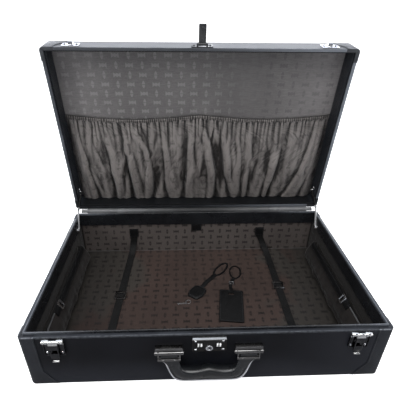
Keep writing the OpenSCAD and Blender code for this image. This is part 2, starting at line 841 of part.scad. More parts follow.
// Barrel on the pin with two cheeks and a bar that clamp the leather arm
module handle_loops() {
  color(chrome) for (side = [-1, 1]) on_front(side * bracket_x, handle_z)
    translate([0, 0, handle_out]) difference() {
      union() {
        rotate([0, 90, 0]) cylinder(h = loop_w, r = loop_r, center = true);
        for (s = [-1, 1]) translate([s * (loop_w / 2 - 1.5) - 1.5, -cheek_drop, -3])
          cube([3, cheek_drop, 6]);
        translate([-loop_w / 2, -cheek_drop, arm_t / 2 + 0.1]) cube([loop_w, 5, 2]);
        translate([-loop_w / 2, -cheek_drop, -arm_t / 2 - 1.6]) cube([loop_w, 5, 1.5]);
        for (s = [-1, 1]) translate([s * 11, 2.5 - cheek_drop, arm_t / 2 + 2])
          cylinder(h = 1.2, r1 = 2.2, r2 = 1.4);
      }
      rotate([0, 90, 0]) cylinder(h = loop_w + 2 * cut, r = handle_pin_r + running_fit, center = true);
    }
}

// Stations along half of the grip, from the middle of the hand grip to the top of the arm:
// inner edge x and height above the lower edge, outer edge x and height, thickness as a share
grip_stations = [
  [0, 37, 0, 0, 1], [10, 35, 12, 0, 1], [20, 32.5, 26, 0, 1], [30, 31, 40, 0, 1],
  [39, 31, 52, 0.6, 0.96], [46.5, 33, 61, 3.5, 0.86], [51.5, 37.5, 68, 10, 0.7],
  [54, 43, 73.5, 20, 0.5], [55.7, 48, 78, 31, 0.33], [57.5, 52, 82.5, 44, 0.24],
  [bracket_x - arm_w / 2, 56, bracket_x + arm_w / 2, 56, 0.21],
  [bracket_x - arm_w / 2, grip_drop - loop_r - 0.5, bracket_x + arm_w / 2,
    grip_drop - loop_r - 0.5, 0.21]
];
// Section from the inner edge across to the outer one: share of the width, share of the thickness
grip_section = [
  [0, 0], [0.02, 0.24], [0.1, 0.42], [0.25, 0.5], [0.45, 0.48], [0.62, 0.36], [0.76, 0.16],
  [0.97, 0.12], [1, 0], [0.97, -0.12], [0.76, -0.16], [0.62, -0.36], [0.45, -0.48],
  [0.25, -0.5], [0.1, -0.42], [0.02, -0.24]
];

// Flat leather at the arms, where the section's flange is as thick as the rest
function grip_point(s, q, side) =
  let (st = grip_stations[s], flat = st[4] < 0.22, share = flat ? sign(q[1]) * 0.5 : q[1],
    out_mid = handle_out + (grip_out - handle_out) * min(1, max(0, (st[4] - 0.21) / 0.5)))
  [side * (st[0] + (st[2] - st[0]) * q[0]),
    -half_d - out_mid - share * (flat ? arm_t : st[4] * grip_t),
    handle_z - grip_drop + st[1] + (st[3] - st[1]) * q[0]];

module handle_grip() {
  n = len(grip_stations);
  m = len(grip_section);
  rows = concat([for (s = [n - 1 : -1 : 1]) [for (q = grip_section) grip_point(s, q, -1)]],
    [for (s = [0 : n - 1]) [for (q = grip_section) grip_point(s, q, 1)]]);
  count = len(rows);
  points = [for (r = rows) for (p = r) p];
  sides = [for (i = [0 : count - 2], j = [0 : m - 1])
    let (a = i * m + j, b = i * m + (j + 1) % m)
    each [[a, b, b + m], [a, b + m, a + m]]];
  caps = [for (j = [1 : m - 2]) each [[0, j + 1, j],
    [(count - 1) * m, (count - 1) * m + j, (count - 1) * m + j + 1]]];
  color(black_leather) polyhedron(points, concat(sides, caps));
}

// Hinges at the back

leaf_drop = 6;
knuckles = 5;
knuckle_gap = 0.3;
knuckle_w = (hinge_w - (knuckles - 1) * knuckle_gap) / knuckles;
hinge_places = [-half_w + hinge_inset, 0, half_w - hinge_inset];

// Leaf against the wall, drawn for the base in Y and Z
module leaf_shape() {
  translate([half_d, hinge_z - leaf_drop - leaf_h]) square([leaf_t, leaf_h]);
}

// Barrel on the pin's line and the crank that carries it
module knuckle_shape() {
  from = [half_d + leaf_t / 2, hinge_z - leaf_drop - 1];
  to = [hinge_y, hinge_z];
  d = unit(to - from);
  n = leaf_t * 0.6 * [-d[1], d[0]];
  difference() {
    union() {
      polygon([from + n, to + n, to - n, from - n]);
      translate(to) circle(knuckle_r);
    }
    translate(to) circle(hinge_pin_r + running_fit);
  }
}

module leaf_screw_places() {
  for (x = hinge_places, i = [0 : 2])
    translate([x + (i - 1) * hinge_w / 3, half_d + leaf_t,
      hinge_z - leaf_drop - leaf_h * (i == 1 ? 0.72 : 0.38)]) rotate([-90, 0, 0]) children();
}

// Three leaves with the knuckles of one parity
module hinge_leaves(odd) {
  difference() {
    for (x = hinge_places) {
      along_x(x - hinge_w / 2, hinge_w) leaf_shape();
      for (k = [odd : 2 : knuckles - 1])
        along_x(x - hinge_w / 2 + k * (knuckle_w + knuckle_gap), knuckle_w) knuckle_shape();
    }
    leaf_screw_places() translate([0, 0, -leaf_t]) screw_hole(leaf_t);
  }
}

module hinge_base_leaves() {
  color(chrome) hinge_leaves(0);
}

module lid_leaf_side() {
  in_lid() translate([0, 0, 2 * hinge_z]) mirror([0, 0, 1]) children();
}

module hinge_lid_leaves() {
  color(chrome) lid_leaf_side() hinge_leaves(1);
}

module hinge_pins() {
  color(chrome) for (x = hinge_places) along_x(x - hinge_w / 2, hinge_w)
    translate([hinge_y, hinge_z]) circle(hinge_pin_r);
}

// Leather strip rolled over the gap between the two back edges, sewn to both back walls
module hinge_gusset() {
  pin = [hinge_y, hinge_z];
  r = hinge_out - 0.5 - gusset_t / 2;
  flap = 4.4;
  gap = 0.2;
  // Where the flap on the lid starts and ends, swung with the lid
  lid_edge = 90 + (90 - open_angle);
  lid_flap = [for (z = [2.2, flap]) let (v = [-hinge_out + gusset_t / 2 + gap, z])
    pin + [v[0] * cos(open_angle) + v[1] * sin(open_angle),
      -v[0] * sin(open_angle) + v[1] * cos(open_angle)]];
  flap_line = concat([[half_d + gusset_t / 2, hinge_z - flap], [half_d + gusset_t / 2, hinge_z - 1.5]],
    arc_points(pin, r, 178, lid_edge + 1, 16), lid_flap);
  short_half = half_w - patch_w - 1;
  long_half = half_w - patch_w / 2;
  color(black_leather) {
    along_x(-short_half, 2 * short_half) strip(flap_line, gusset_t);
    along_x(-long_half, 2 * long_half) strip(arc_points(pin, r, 174, lid_edge + 7, 14), gusset_t);
  }
}

// Folding stays inside both ends

stay_b = [hinge_y - stay_run, hinge_z - stay_drop];
stay_l = [hinge_y - stay_run * cos(open_angle) + stay_drop * sin(open_angle),
  hinge_z + stay_run * sin(open_angle) + stay_drop * cos(open_angle)];
stay_e = stay_b + stay_l - [hinge_y, hinge_z];
stay_plate = 1.5;
arm_gap = 0.4;
rivet_head = 0.8;
lower_x = half_w - lip_in - stay_plate - arm_gap - stay_t;
upper_x = lower_x - arm_gap - stay_t;
open_pivot_fit = 0.3;

module stay_rivet(from, to, at) {
  along_x(from, to - from) translate(at) circle(stay_pin_r);
  along_x(from, rivet_head) translate(at) circle(stay_pin_r + 1.3);
}

module stay_base_pivots() {
  face = half_w - lip_in;
  color(chrome) both_sides() {
    along_x(face - stay_plate, stay_plate) link_shape(stay_b - [6, 0], stay_b + [10, 0], 12);
    stay_rivet(lower_x - arm_gap / 2 - rivet_head, face - stay_plate / 2, stay_b);
  }
}

module stay_lid_pivots() {
  face = half_w - lid_in;
  closed_l = [hinge_y - stay_run, hinge_z + stay_drop];
  color(chrome) in_lid() both_sides() {
    along_x(face - stay_plate, stay_plate) link_shape(closed_l - [6, 0], closed_l + [10, 0], 12);
    stay_rivet(upper_x - arm_gap / 2 - rivet_head, face - stay_plate / 2, closed_l);
  }
}

module stay_lower() {
  along_x(lower_x, stay_t) difference() {
    link_shape(stay_b, stay_e, stay_w);
    translate(stay_b) circle(stay_pin_r + running_fit);
  }
  stay_rivet(upper_x - arm_gap / 2 - rivet_head, lower_x + stay_t / 2, stay_e);
}

module stay_upper() {
  along_x(upper_x, stay_t) difference() {
    link_shape(stay_e, stay_l, stay_w);
    translate(stay_e) circle(stay_pin_r + running_fit);
    translate(stay_l) circle(stay_pin_r + open_pivot_fit);
  }
}

module stay_lower_left() { color(chrome) mirror([1, 0, 0]) stay_lower(); }
module stay_lower_right() { color(chrome) stay_lower(); }
module stay_upper_left() { color(chrome) mirror([1, 0, 0]) stay_upper(); }
module stay_upper_right() { color(chrome) stay_upper(); }

module base_screws() {
  color(chrome) {
    for (side = [-1, 1]) on_front(side * latch_x, 0) latch_screw_places() screw(plate_t);
    for (side = [-1, 1]) on_front(side * bracket_x, 0) handle_screw_places() screw(plate_t);
    on_front(0, 0) lock_screw_places() translate([0, 0, lock_t]) screw(lock_t);
    leaf_screw_places() screw(leaf_t);
  }
}

// Lid

module lid_shell() {
  color(raw_board) lid_tray() difference() {
    slab(cover_t, cover_t, lid_h - rim_h);
    slab(lid_wall, cover_t + panel_t, lid_h);
  }
}

module lid_cover() {
  color(black_cover) lid_tray() difference() {
    rounded_block(0, lid_h - rim_h);
    slab(cover_t, cover_t, lid_h);
  }
}

module lid_rim() {
  color(black_leather) lid_tray() rim_binding(lid_h, lid_wall);
}

module lid_corners() {
  color(black_leather) lid_tray() corner_leathers(lid_h, lid_wall);
}

module lid_liner() {
  color(black_leather) lid_tray()
    wall_ring(lid_wall, lid_in, lid_top - lining_z, lid_h + closing_gap - lip_rise - liner_top_gap);
}

module lid_lining() {
  color(lining_cloth) lid_tray() slab(lid_wall, cover_t + panel_t, lid_top - lining_z);
}

// Ruched pocket on the lid's lining: foot on the back wall, mouth held at its ends and middle

pocket_half = half_w - lid_in;
pocket_back = half_d - lid_in;
pocket_cols = 46;
pocket_rows = 11;
mouth_off = 4;
// Each main fold: place at the mouth, half way and at the foot, and depth
folds = [
  [-262, -242, -238, 5], [-316, -301, -286, 3.5], [-205, -196, -186, 3], [-170, -128, -136, 6],
  [-30, -35, -41, 5], [8, 44, 49, 6], [56, 67, 97, 4.5], [149, 146, 145, 4], [197, 193, 190, 5.5],
  [240, 220, 205, 4], [301, 286, 248, 5], [331, 322, 297, 4.5]
];

function mouth_y(x) = half_d - lid_in - pocket_h + pocket_sag * abs(sin(180 * x / pocket_half));
function fold_x(f, v) = (1 - v) * (1 - 2 * v) * f[2] + 4 * v * (1 - v) * f[1] + v * (2 * v - 1) * f[0];
function fold_depth(x, v) = let (
    hits = [for (f = folds) let (u = (x - fold_x(f, v)) / 13) f[3] * exp(-u * u)])
  hits * [for (f = folds) 1];
// Distance of the cloth from the lid's lining at x, at a share v of the way from foot to mouth
function cloth_off(x, v) = let (
    edge = min(1, (pocket_half - abs(x)) / 26 + 0.16),
    fade = sin(180 * min(1, 0.12 + 0.9 * v)),
    body = pocket_foot * (1 - v) + mouth_off * v + pocket_swell * sin(180 * v))
  max(cloth_t / 2 + 0.1, edge * (body - fade * fold_depth(x, v)));
function pocket_point(i, j, face) = let (
    x = pocket_half * (2 * i / pocket_cols - 1),
    v = j / pocket_rows,
    y = pocket_back + (mouth_y(x) - pocket_back) * v)
  [x, y, lining_z - cloth_off(x, v) + face * cloth_t / 2];

module lid_pocket() {
  n = pocket_cols + 1;
  m = pocket_rows + 1;
  back = n * m;
  points = [for (face = [-1, 1], j = [0 : pocket_rows], i = [0 : pocket_cols]) pocket_point(i, j, face)];
  sheet = [for (j = [0 : pocket_rows - 1], i = [0 : pocket_cols - 1])
    let (a = j * n + i, b = a + 1, c = a + n + 1, d = a + n)
    each [[a, b, c], [a, c, d], [back + a, back + c, back + b], [back + a, back + d, back + c]]];
  rim = [for (e = concat([for (i = [0 : pocket_cols - 1]) [i + 1, i]],
      [for (i = [0 : pocket_cols - 1]) [(m - 1) * n + i, (m - 1) * n + i + 1]],
      [for (j = [0 : pocket_rows - 1]) [j * n, (j + 1) * n]],
      [for (j = [0 : pocket_rows - 1]) [(j + 2) * n - 1, (j + 1) * n - 1]]))
    each [[e[0], e[1], back + e[1]], [e[0], back + e[1], back + e[0]]]];
  color(lining_cloth) in_lid() polyhedron(points, concat(sheet, rim));
}

// Gathered band that holds the pocket's mouth against the lid
elastic_w = 7;
elastic_t = 2.2;

module pocket_elastic() {
  n = pocket_cols;
  at = function (i) let (x = pocket_half * (2 * i / n - 1)) [x, mouth_y(x), lining_z - cloth_off(x, 1)];
  corners = [[0.3, -1], [0.3, 1], [elastic_w, 1], [elastic_w, -1]];
  points = [for (i = [0 : n]) for (c = corners) at(i) + [0, -c[0], c[1] * elastic_t / 2]];
  sides = [for (i = [0 : n - 1], k = [0 : 3]) let (a = 4 * i + k, b = 4 * i + (k + 1) % 4)
    each [[a, b, b + 4], [a, b + 4, a + 4]]];
  ends = [[0, 2, 1], [0, 3, 2], [4 * n, 4 * n + 1, 4 * n + 2], [4 * n, 4 * n + 2, 4 * n + 3]];
  color(lining_cloth) in_lid() polyhedron(points, concat(sides, ends));
}

// Catches on the front of the lid for the hasps
nose_z = hasp_pin_z + nose_reach;
catch_h = 25;
catch_z = nose_z - 1;

module catch_screw_places() {
  for (s = [-1, 1]) translate([s * (latch_w / 2 - 6), catch_z, plate_t]) children();
}

module lid_catches() {
  color(chrome) in_lid() for (side = [-1, 1]) on_front(side * latch_x, 0) difference() {
    union() {
      translate([0, catch_z, 0]) rounded_plate(latch_w, catch_h, 2.5, plate_t);
      translate([0, nose_z, 0]) rounded_plate(nose_w, nose_h, 1.2, nose_out);
    }
    catch_screw_places() translate([0, 0, -plate_t]) screw_hole(plate_t);
  }
}

// Centre hasp: plate and pin on the lid, tab with a stud that drops into the lock
tab_knuckle_r = 2.8;
tab_pin_r = 1.3;
tab_face = tab_knuckle_r - 0.6;
tab_pin_out = lock_t + socket_rim + part_gap - tab_face;
tab_pin_z = lid_low + 3;
tab_reach = tab_pin_z - socket_z;
tab_plate_h = 26;
tab_gap = tab_w / 2 + part_gap;
stud_collar = 2.4;
stud_l = tab_pin_out + tab_face - 0.6;
tab_lug = 4;

module tab_screw_places() {
  for (s = [-1, 1]) translate([s * (tab_plate_w / 2 - 6), tab_pin_z + 12, plate_t]) children();
}

module tab_plate() {
  color(black_leather) in_lid() on_front(0, 0) difference() {
    union() {
      translate([0, tab_pin_z + tab_plate_h / 2 - 1, 0])
        rounded_plate(tab_plate_w, tab_plate_h, 4, plate_t);
      for (s = [-1, 1]) translate([s * (tab_gap + tab_lug / 2) - tab_lug / 2, 0, 0]) {
        translate([0, tab_pin_z - 1, 0]) cube([tab_lug, 4, tab_pin_out]);
        translate([0, tab_pin_z, tab_pin_out]) rotate([0, 90, 0])
          cylinder(h = tab_lug, r = tab_knuckle_r);
      }
      translate([0, tab_pin_z, tab_pin_out]) rotate([0, 90, 0])
        cylinder(h = 2 * (tab_gap + tab_lug / 2), r = tab_pin_r, center = true);
    }
    tab_screw_places() translate([0, 0, -plate_t]) screw_hole(plate_t);
  }
}

module lock_tab() {
  color(black_leather) in_lid() on_front(0, tab_pin_z) translate([0, 0, tab_pin_out])
    rotate([-tab_open, 0, 0]) difference() {
      union() {
        rotate([0, 90, 0]) cylinder(h = tab_w, r = tab_knuckle_r, center = true);
        translate([0, -(tab_reach + tab_end) / 2, tab_face])
          rounded_plate(tab_w, tab_reach + tab_end, 2, tab_t);
        translate([0, -tab_reach, tab_face]) {
          translate([0, 0, -stud_collar]) cylinder(h = stud_collar + 0.1, r = stud_head_r);
          translate([0, 0, -stud_l]) cylinder(h = stud_l, r = stud_neck_r);
          translate([0, 0, -stud_l]) cylinder(h = 1.4, r1 = stud_neck_r, r2 = stud_head_r);
          translate([0, 0, tab_t - 0.1]) cylinder(h = 0.9, r1 = 3.4, r2 = 2.6);
        }
      }
      rotate([0, 90, 0]) cylinder(h = tab_w + 2 * cut, r = tab_pin_r + running_fit, center = true);
    }
}

module lid_screws() {
  color(chrome) {
    in_lid() {
      for (side = [-1, 1]) on_front(side * latch_x, 0) catch_screw_places() screw(plate_t);
      on_front(0, 0) tab_screw_places() screw(plate_t);
    }
    lid_leaf_side() leaf_screw_places() screw(leaf_t);
  }
}

// Luggage tag and key holder lying on the floor's lining

tag_at = [73, -27];
tag_turn = -6.5;
lace_w = 4;
lace_t = 1.5;
lace_buckle_w = 2 * lace_w + 6;

module luggage_tag() {
  color(black_leather) translate([tag_at[0], tag_at[1], floor_top]) rotate([0, 0, tag_turn])
    difference() {
      rounded_plate(tag_w, tag_l, 3, tag_t);
      translate([0, tag_l / 2 - 14, -cut]) rounded_plate(16, 6, 2.5, tag_t + 2 * cut);
    }
}

// Lace through the tag's slot: two strands side by side that open into a loop
module tag_loop() {
  top = tag_l / 2 + 1;
  color(black_leather) translate([tag_at[0], tag_at[1], floor_top]) rotate([0, 0, tag_turn]) {
    linear_extrude(lace_t) {
      strip([[0, top], [-2, top + 18], [4, top + 38], [9, top + 50]], 2 * lace_w + 1);
      loop_strip([for (a = [0 : 15 : 345]) [12 + 15 * cos(a), top + 74 + 26 * sin(a)]], lace_w);
    }
    translate([0, tag_l / 2 - 5, tag_t]) rounded_plate(2 * lace_w + 1, 14, 2, lace_t);
    translate([0, top - 1 + lace_t / 2, 0]) translate([-lace_w, -0.6, 0])
      cube([2 * lace_w, lace_t, tag_t + lace_t]);
  }
}

// Buckles of the side straps and a small one on the tag's lace
module buckles() {
  color(chrome) {
    both_sides() at_side_mouth(buckle_y, side_strap_rise - side_strap_w / 2)
      rotate([0, -90, 0]) buckle(buckle_w, buckle_w - 4, 2.2, side_strap_w, 9);
    translate([tag_at[0], tag_at[1], floor_top + lace_t]) rotate([0, 0, tag_turn])
      translate([1, tag_l / 2 + 28, 0]) buckle(lace_buckle_w, lace_buckle_w - 3, 1.6, lace_buckle_w - 4, 6);
  }
}

key_at = [-10, 22];
key_turn = 54;
key_case_t = 6;
key_strap_t = 2.2;

// Bell-shaped leather case for the keys
module key_case() {
  half = [[-24, 9], [-20, 15], [-6, 20], [14, 18], [23, 9]];
  color(black_leather) translate([key_at[0], key_at[1], floor_top]) rotate([0, 0, key_turn])
    linear_extrude(key_case_t) polygon(concat(half, [for (p = backwards(half)) [p[0], -p[1]]]));
}

// Its strap, doubled at the case and open in a loop at the far end
module key_strap() {
  color(black_leather) translate([key_at[0], key_at[1], floor_top]) rotate([0, 0, key_turn]) {
    linear_extrude(key_strap_t) strip([[23.3, 0], [45, 1], [70, -2], [88, -4]], 12);
    linear_extrude(key_strap_t)
      loop_strip([for (a = [0 : 15 : 345]) [115 + 31 * cos(a), -4 + 12 * sin(a)]], lace_w + 1);
  }
}

// A ring at the case's mouth with a small key on it
module keys() {
  ring_at = [-34, -12];
  color(chrome) translate([0, 0, floor_top]) {
    translate(ring_at) linear_extrude(1.6) difference() {
      circle(7);
      circle(5.2);
    }
    translate(ring_at + [-7, -4]) rotate([0, 0, 3]) linear_extrude(1.6) {
      translate([-20, -1.6]) square([21, 3.2]);
      translate([-19, -4]) square([3, 4]);
      translate([-13, -3.6]) square([3, 4]);
    }
  }
}

base_shell();
base_cover();
base_rim();
base_lip();
base_corners();
base_lining();
floor_lining();
side_pockets();
side_straps();
buckles();
packing_strap(0);  // packing_strap_left
packing_strap(1);  // packing_strap_right
strap_sliders();
strap_anchors();
lock_case();
lock_socket();
lock_bolt();
dial_shafts();
dial_1();
dial_2();
dial_3();
dial_4();
latch_plate_left();
latch_plate_right();
latch_hasp_left();
latch_hasp_right();
hasp_pins();
handle_bracket_left();
handle_bracket_right();
handle_pins();
handle_grip();
handle_loops();
base_screws();
hinge_base_leaves();
hinge_pins();
hinge_gusset();
stay_base_pivots();
stay_lower_left();
stay_lower_right();
stay_upper_left();
stay_upper_right();
stay_lid_pivots();
lid_shell();
lid_cover();
lid_rim();
lid_corners();
lid_liner();
lid_lining();
lid_pocket();
pocket_elastic();
lid_catches();
tab_plate();
lock_tab();
lid_screws();
hinge_lid_leaves();
luggage_tag();
tag_loop();
key_case();
key_strap();
keys();
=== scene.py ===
import math
import random
from contextlib import contextmanager

import bmesh
import bpy
import numpy as np
from mathutils import Matrix, Vector, noise


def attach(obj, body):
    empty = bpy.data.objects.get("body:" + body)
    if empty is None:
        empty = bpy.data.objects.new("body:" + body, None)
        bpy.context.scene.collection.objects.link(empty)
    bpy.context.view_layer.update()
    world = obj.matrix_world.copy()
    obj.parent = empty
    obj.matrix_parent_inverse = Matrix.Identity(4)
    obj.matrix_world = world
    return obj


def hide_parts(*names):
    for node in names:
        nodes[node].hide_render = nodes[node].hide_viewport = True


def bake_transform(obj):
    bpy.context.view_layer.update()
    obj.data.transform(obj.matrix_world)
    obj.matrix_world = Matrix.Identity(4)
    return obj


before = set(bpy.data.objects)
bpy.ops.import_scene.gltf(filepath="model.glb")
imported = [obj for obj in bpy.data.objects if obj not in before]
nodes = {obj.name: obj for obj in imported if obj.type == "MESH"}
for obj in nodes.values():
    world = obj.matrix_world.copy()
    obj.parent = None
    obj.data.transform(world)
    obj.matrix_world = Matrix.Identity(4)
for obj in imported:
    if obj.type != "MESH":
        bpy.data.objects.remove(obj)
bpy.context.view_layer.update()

# Sizes in millimetres, as in the part's source. The frame has its origin at the centre of the base's
# underside, X to the right, Y to the hinges and Z up.
MM = 0.001
HALF_W = 349.0
HALF_D = 219.0
BASE_H = 134.0
LID_LOW = 134.4
LID_TOP = 189.0
RIM_H = 3.0
HINGE_Y = 229.0
HINGE_Z = 134.0
OPEN_ANGLE = 82.0
LINING_Z = 181.3
PAD_TOP = 8.0
IN_X = 340.3
IN_Y = 210.3
LID_IN_Y = 209.0
DIAL_X = (-20.3, -15.0, 15.0, 20.3)
DIAL_Z = 112.3
DIAL_OUT = 1.2
DIAL_R = 8.0
DIGIT_H = 2.7
HANDLE_Z = 94.0

HINGE = Matrix.Translation((0, HINGE_Y * MM, HINGE_Z * MM))
# Takes a point of the closed lid to where the open lid holds it, in metres
LID = HINGE @ Matrix.Rotation(math.radians(-OPEN_ANGLE), 4, "X") @ HINGE.inverted()


# Camera, light and floor


def place_camera():
    """Camera at the photograph's viewing point, fitted to the case's own edges."""
    data = bpy.data.cameras.new("photo_camera")
    data.sensor_width = 36.0
    data.lens = 31.344
    data.shift_x, data.shift_y = 0.02544, 0.00191
    data.clip_start, data.clip_end = 0.02, 50.0
    cam = link("photo_camera", data)
    cam.matrix_world = Matrix.Translation((-0.05072, -0.67205, 0.66336))
    for axis, angle in (("Z", -1.2054), ("X", 60.3348), ("Y", -1.1904)):
        cam.matrix_world = cam.matrix_world @ Matrix.Rotation(math.radians(angle), 4, axis)
    bpy.context.scene.camera = cam


def area_light(name, place, aim, size, power):
    data = bpy.data.lights.new(name, "AREA")
    data.shape = "RECTANGLE"
    data.size, data.size_y = size
    data.energy = power
    turn = (Vector(aim) - Vector(place)).to_track_quat("-Z", "Y").to_matrix().to_4x4()
    link(name, data).matrix_world = Matrix.Translation(place) @ turn


def light_studio():
    """White sweep behind the case, a dark room in front of it and soft boxes round it."""
    world = bpy.data.worlds.new("studio")
    world.use_nodes = True
    w = Wires(world.node_tree)
    back = world.node_tree.nodes["Background"]
    towards = w.axes(w.read("ShaderNodeTexCoord")["Generated"])[1]
    seen = w.read("ShaderNodeLightPath")["Is Camera Ray"]
    w.feed(back.inputs["Color"], w.mix(seen, (0.9, 0.95, 1.06), (1, 1, 1)))
    w.feed(back.inputs["Strength"], towards.span(0.05, 0.6, 0.22, 1.55).max(seen * 1.2))
    bpy.context.scene.world = world
    bpy.context.scene.view_settings.view_transform = "Standard"
    area_light("overhead", (0.0, -0.7, 2.5), (0, 0.1, 0), (2.4, 1.4), 62)
    area_light("front_left", (-2.1, -1.5, 1.9), (0, 0.1, 0.2), (0.8, 0.8), 34)
    area_light("front_right", (2.2, -1.2, 1.4), (0, 0, 0.2), (0.9, 0.9), 16)
    area_light("low_behind", (0.0, 3.0, 0.95), (0, 0.3, 0.55), (5.0, 0.7), 42)


def pale_floor():
    """White ground that stays white to its far edge, and that reflections see darker than the camera."""
    r = 6000.0
    floor = piece_from("floor", [(-r, -r, 0), (r, -r, 0), (r, r, 0), (-r, r, 0)], [(0, 1, 2, 3)])
    f = Finish("Pale floor", roughness=0.8)
    ray = f.read("ShaderNodeLightPath")
    near = f.axes(f.at)[1].span(-1.1, -0.6)
    f.set(Base_Color=f.mix(ray["Is Glossy Ray"] * near, (0.9, 0.9, 0.9), (0.25, 0.25, 0.26)),
          Emission_Color=(1, 1, 1), Emission_Strength=ray["Is Camera Ray"] * 0.75)
    floor.data.materials.append(f.mat)


# Shader groups


def reckoned(operation, swapped=False):
    """A method that makes a math node of a Value and another operand."""

    def method(self, other=None):
        return self.wires.math(operation, *((other, self) if swapped else (self, other)))

    return method


class Value:
    """A node's output, which can be reckoned with as a number can."""

    def __init__(self, wires, socket):
        self.wires, self.socket = wires, socket

    __add__, __sub__, __mul__ = reckoned("ADD"), reckoned("SUBTRACT"), reckoned("MULTIPLY")
    __truediv__, __pow__, __abs__ = reckoned("DIVIDE"), reckoned("POWER"), reckoned("ABSOLUTE")
    __gt__, __lt__, max = reckoned("GREATER_THAN"), reckoned("LESS_THAN"), reckoned("MAXIMUM")
    __rsub__, __rtruediv__ = reckoned("SUBTRACT", True), reckoned("DIVIDE", True)

    def span(self, low, high, to_low=0.0, to_high=1.0):
        """The value between low and high, mapped smoothly to to_low..to_high."""
        return self.wires.read("ShaderNodeMapRange", {"Value": self, "From Min": low, "From Max": high,
                                                      "To Min": to_low, "To Max": to_high},
                               interpolation_type="SMOOTHSTEP")["Result"]


class Wires:
    """A node tree under construction: adds nodes and links with short calls."""

    def __init__(self, tree):
        self.tree = tree

    def add(self, kind, inputs=None, **settings):
        n = self.tree.nodes.new(kind)
        for key, value in settings.items():
            setattr(n, key, value)
        for key, value in (inputs or {}).items():
            self.feed(n.inputs[key], value)
        return n

    def read(self, *args, **settings):
        """The outputs of a new node, by name."""
        return {s.name: Value(self, s) for s in self.add(*args, **settings).outputs}

    def take(self, *args, output=0, **settings):
        return Value(self, self.add(*args, **settings).outputs[output])

    def feed(self, socket, value):
        """Links a socket to a value, or gives it a constant; a colour may leave out its alpha."""
        if isinstance(value, bpy.types.Node):
            value = value.outputs[0]
        if isinstance(value, Value):
            value = value.socket
        if isinstance(value, bpy.types.NodeSocket):
            self.tree.links.new(value, socket)
        elif socket.type == "RGBA":
            socket.default_value = (*value, 1)
        else:
            socket.default_value = value

    def math(self, operation, a, b=None, **settings):
        inputs = {0: a} if b is None else {0: a, 1: b}
        return self.take("ShaderNodeMath", inputs, operation=operation, **settings)

    def vector(self, operation, a, b):
        inputs = {0: a, "Scale" if operation == "SCALE" else 1: b}
        return self.take("ShaderNodeVectorMath", inputs, operation=operation)

    def axes(self, vector):
        return list(self.read("ShaderNodeSeparateXYZ", {0: vector}).values())

    def mix(self, share, a, b):
        return self.take("ShaderNodeMix", {0: share, 6: a, 7: b}, data_type="RGBA", output=2)

    def between(self, share, a, b):
        return self.take("ShaderNodeMix", {0: share, 2: a, 3: b}, data_type="FLOAT")

    def noise(self, vector, scale, detail=3.0, rough=0.55, distortion=0.0, output="Fac"):
        return self.read("ShaderNodeTexNoise", {"Vector": vector, "Scale": scale, "Detail": detail,
                                                "Roughness": rough, "Distortion": distortion})[output]


def shader_group(name, inputs, outputs):
    """Empty shader group with named sockets, of which Vector and Normal are vectors. Returns its wires,
    its inputs' values by name and a function that links its outputs."""
    tree = bpy.data.node_groups.new(name, "ShaderNodeTree")
    for way, labels in (("INPUT", inputs), ("OUTPUT", outputs)):
        for label in labels:
            kind = "Vector" if label in ("Vector", "Normal") else "Float"
            tree.interface.new_socket(label, in_out=way, socket_type="NodeSocket" + kind)
    w = Wires(tree)
    end = w.add("NodeGroupOutput")

    def put(**results):
        for label, value in results.items():
            w.feed(end.inputs[label], value)
        return tree

    return w, w.read("NodeGroupInput"), put


def leather_grain():
    """Pebbled leather: height of the grain, and a slow unevenness of its tone."""
    w, i, put = shader_group("Leather grain", ("Vector", "Pebble Size"), ("Height", "Unevenness"))
    at, scale = i["Vector"], 1.0 / i["Pebble Size"]
    warp = w.noise(at, scale * 0.45, 2.0, output="Color")
    shifted = w.vector("ADD", at, w.vector("SCALE", warp, 0.0009))
    pebbles = w.read("ShaderNodeTexVoronoi", {"Vector": shifted, "Scale": scale},
                     feature="DISTANCE_TO_EDGE")["Distance"]
    return put(Height=pebbles.span(0.0, 0.32) * 0.75 + w.noise(at, scale * 2.6) * 0.35,
               Unevenness=w.noise(at, 22.0, 4.0, 0.6).span(0.3, 0.7))


def cloth_weave():
    """Plain weave on a flat coordinate: height of the threads, and which thread is on top."""
    w, i, put = shader_group("Cloth weave", ("Vector", "Thread Pitch"), ("Height", "Warp"))
    x, y, _ = w.axes(i["Vector"])
    turn = math.pi / i["Thread Pitch"]
    warp, weft = w.math("SINE", x * turn), w.math("SINE", y * turn)
    over = warp * weft > 0.0
    return put(Height=w.between(over, abs(warp), abs(weft)), Warp=over)


def bow_and_lens():
    """Woven figures on a chequered grid: a bow lying across, then a split lens standing up."""
    w, i, put = shader_group("Bow and lens", ("Vector", "Column", "Row", "Size"), ("Figure",))
    x, y, _ = w.axes(i["Vector"])
    u, v = x / i["Column"], y / i["Row"]
    column, row = w.math("FLOOR", u), w.math("FLOOR", v)
    ax = abs((u - column - 0.5) * i["Column"]) / i["Size"]
    ay = abs((v - row - 0.5) * i["Row"]) / i["Size"]
    flare = ay - ax ** 1.6 * 0.5
    bow = flare.span(0.24, 0.12) * ax.span(1.06, 0.94)
    knot = (ax * 1.6).max(ay).span(0.52, 0.42)
    lens = (ax * 2.1) ** 2.0 + ay * 0.95
    split = lens.span(1.08, 0.9) * ay.span(0.05, 0.13)
    return put(Figure=w.between(w.math("PINGPONG", column + row, 1.0), bow.max(knot), split))


def face_plane():
    """Coordinates in the plane of whichever way a flat face points, from the object's own frame."""
    w, i, put = shader_group("Face plane", ("Vector", "Normal"), ("Vector",))
    (x, y, z), (nx, _, nz) = w.axes(i["Vector"]), w.axes(i["Normal"])
    return put(Vector=w.add("ShaderNodeCombineXYZ", {"X": w.between(abs(nx) > 0.7, x, y),
                                                     "Y": w.between(abs(nz) > 0.7, z, y)}))


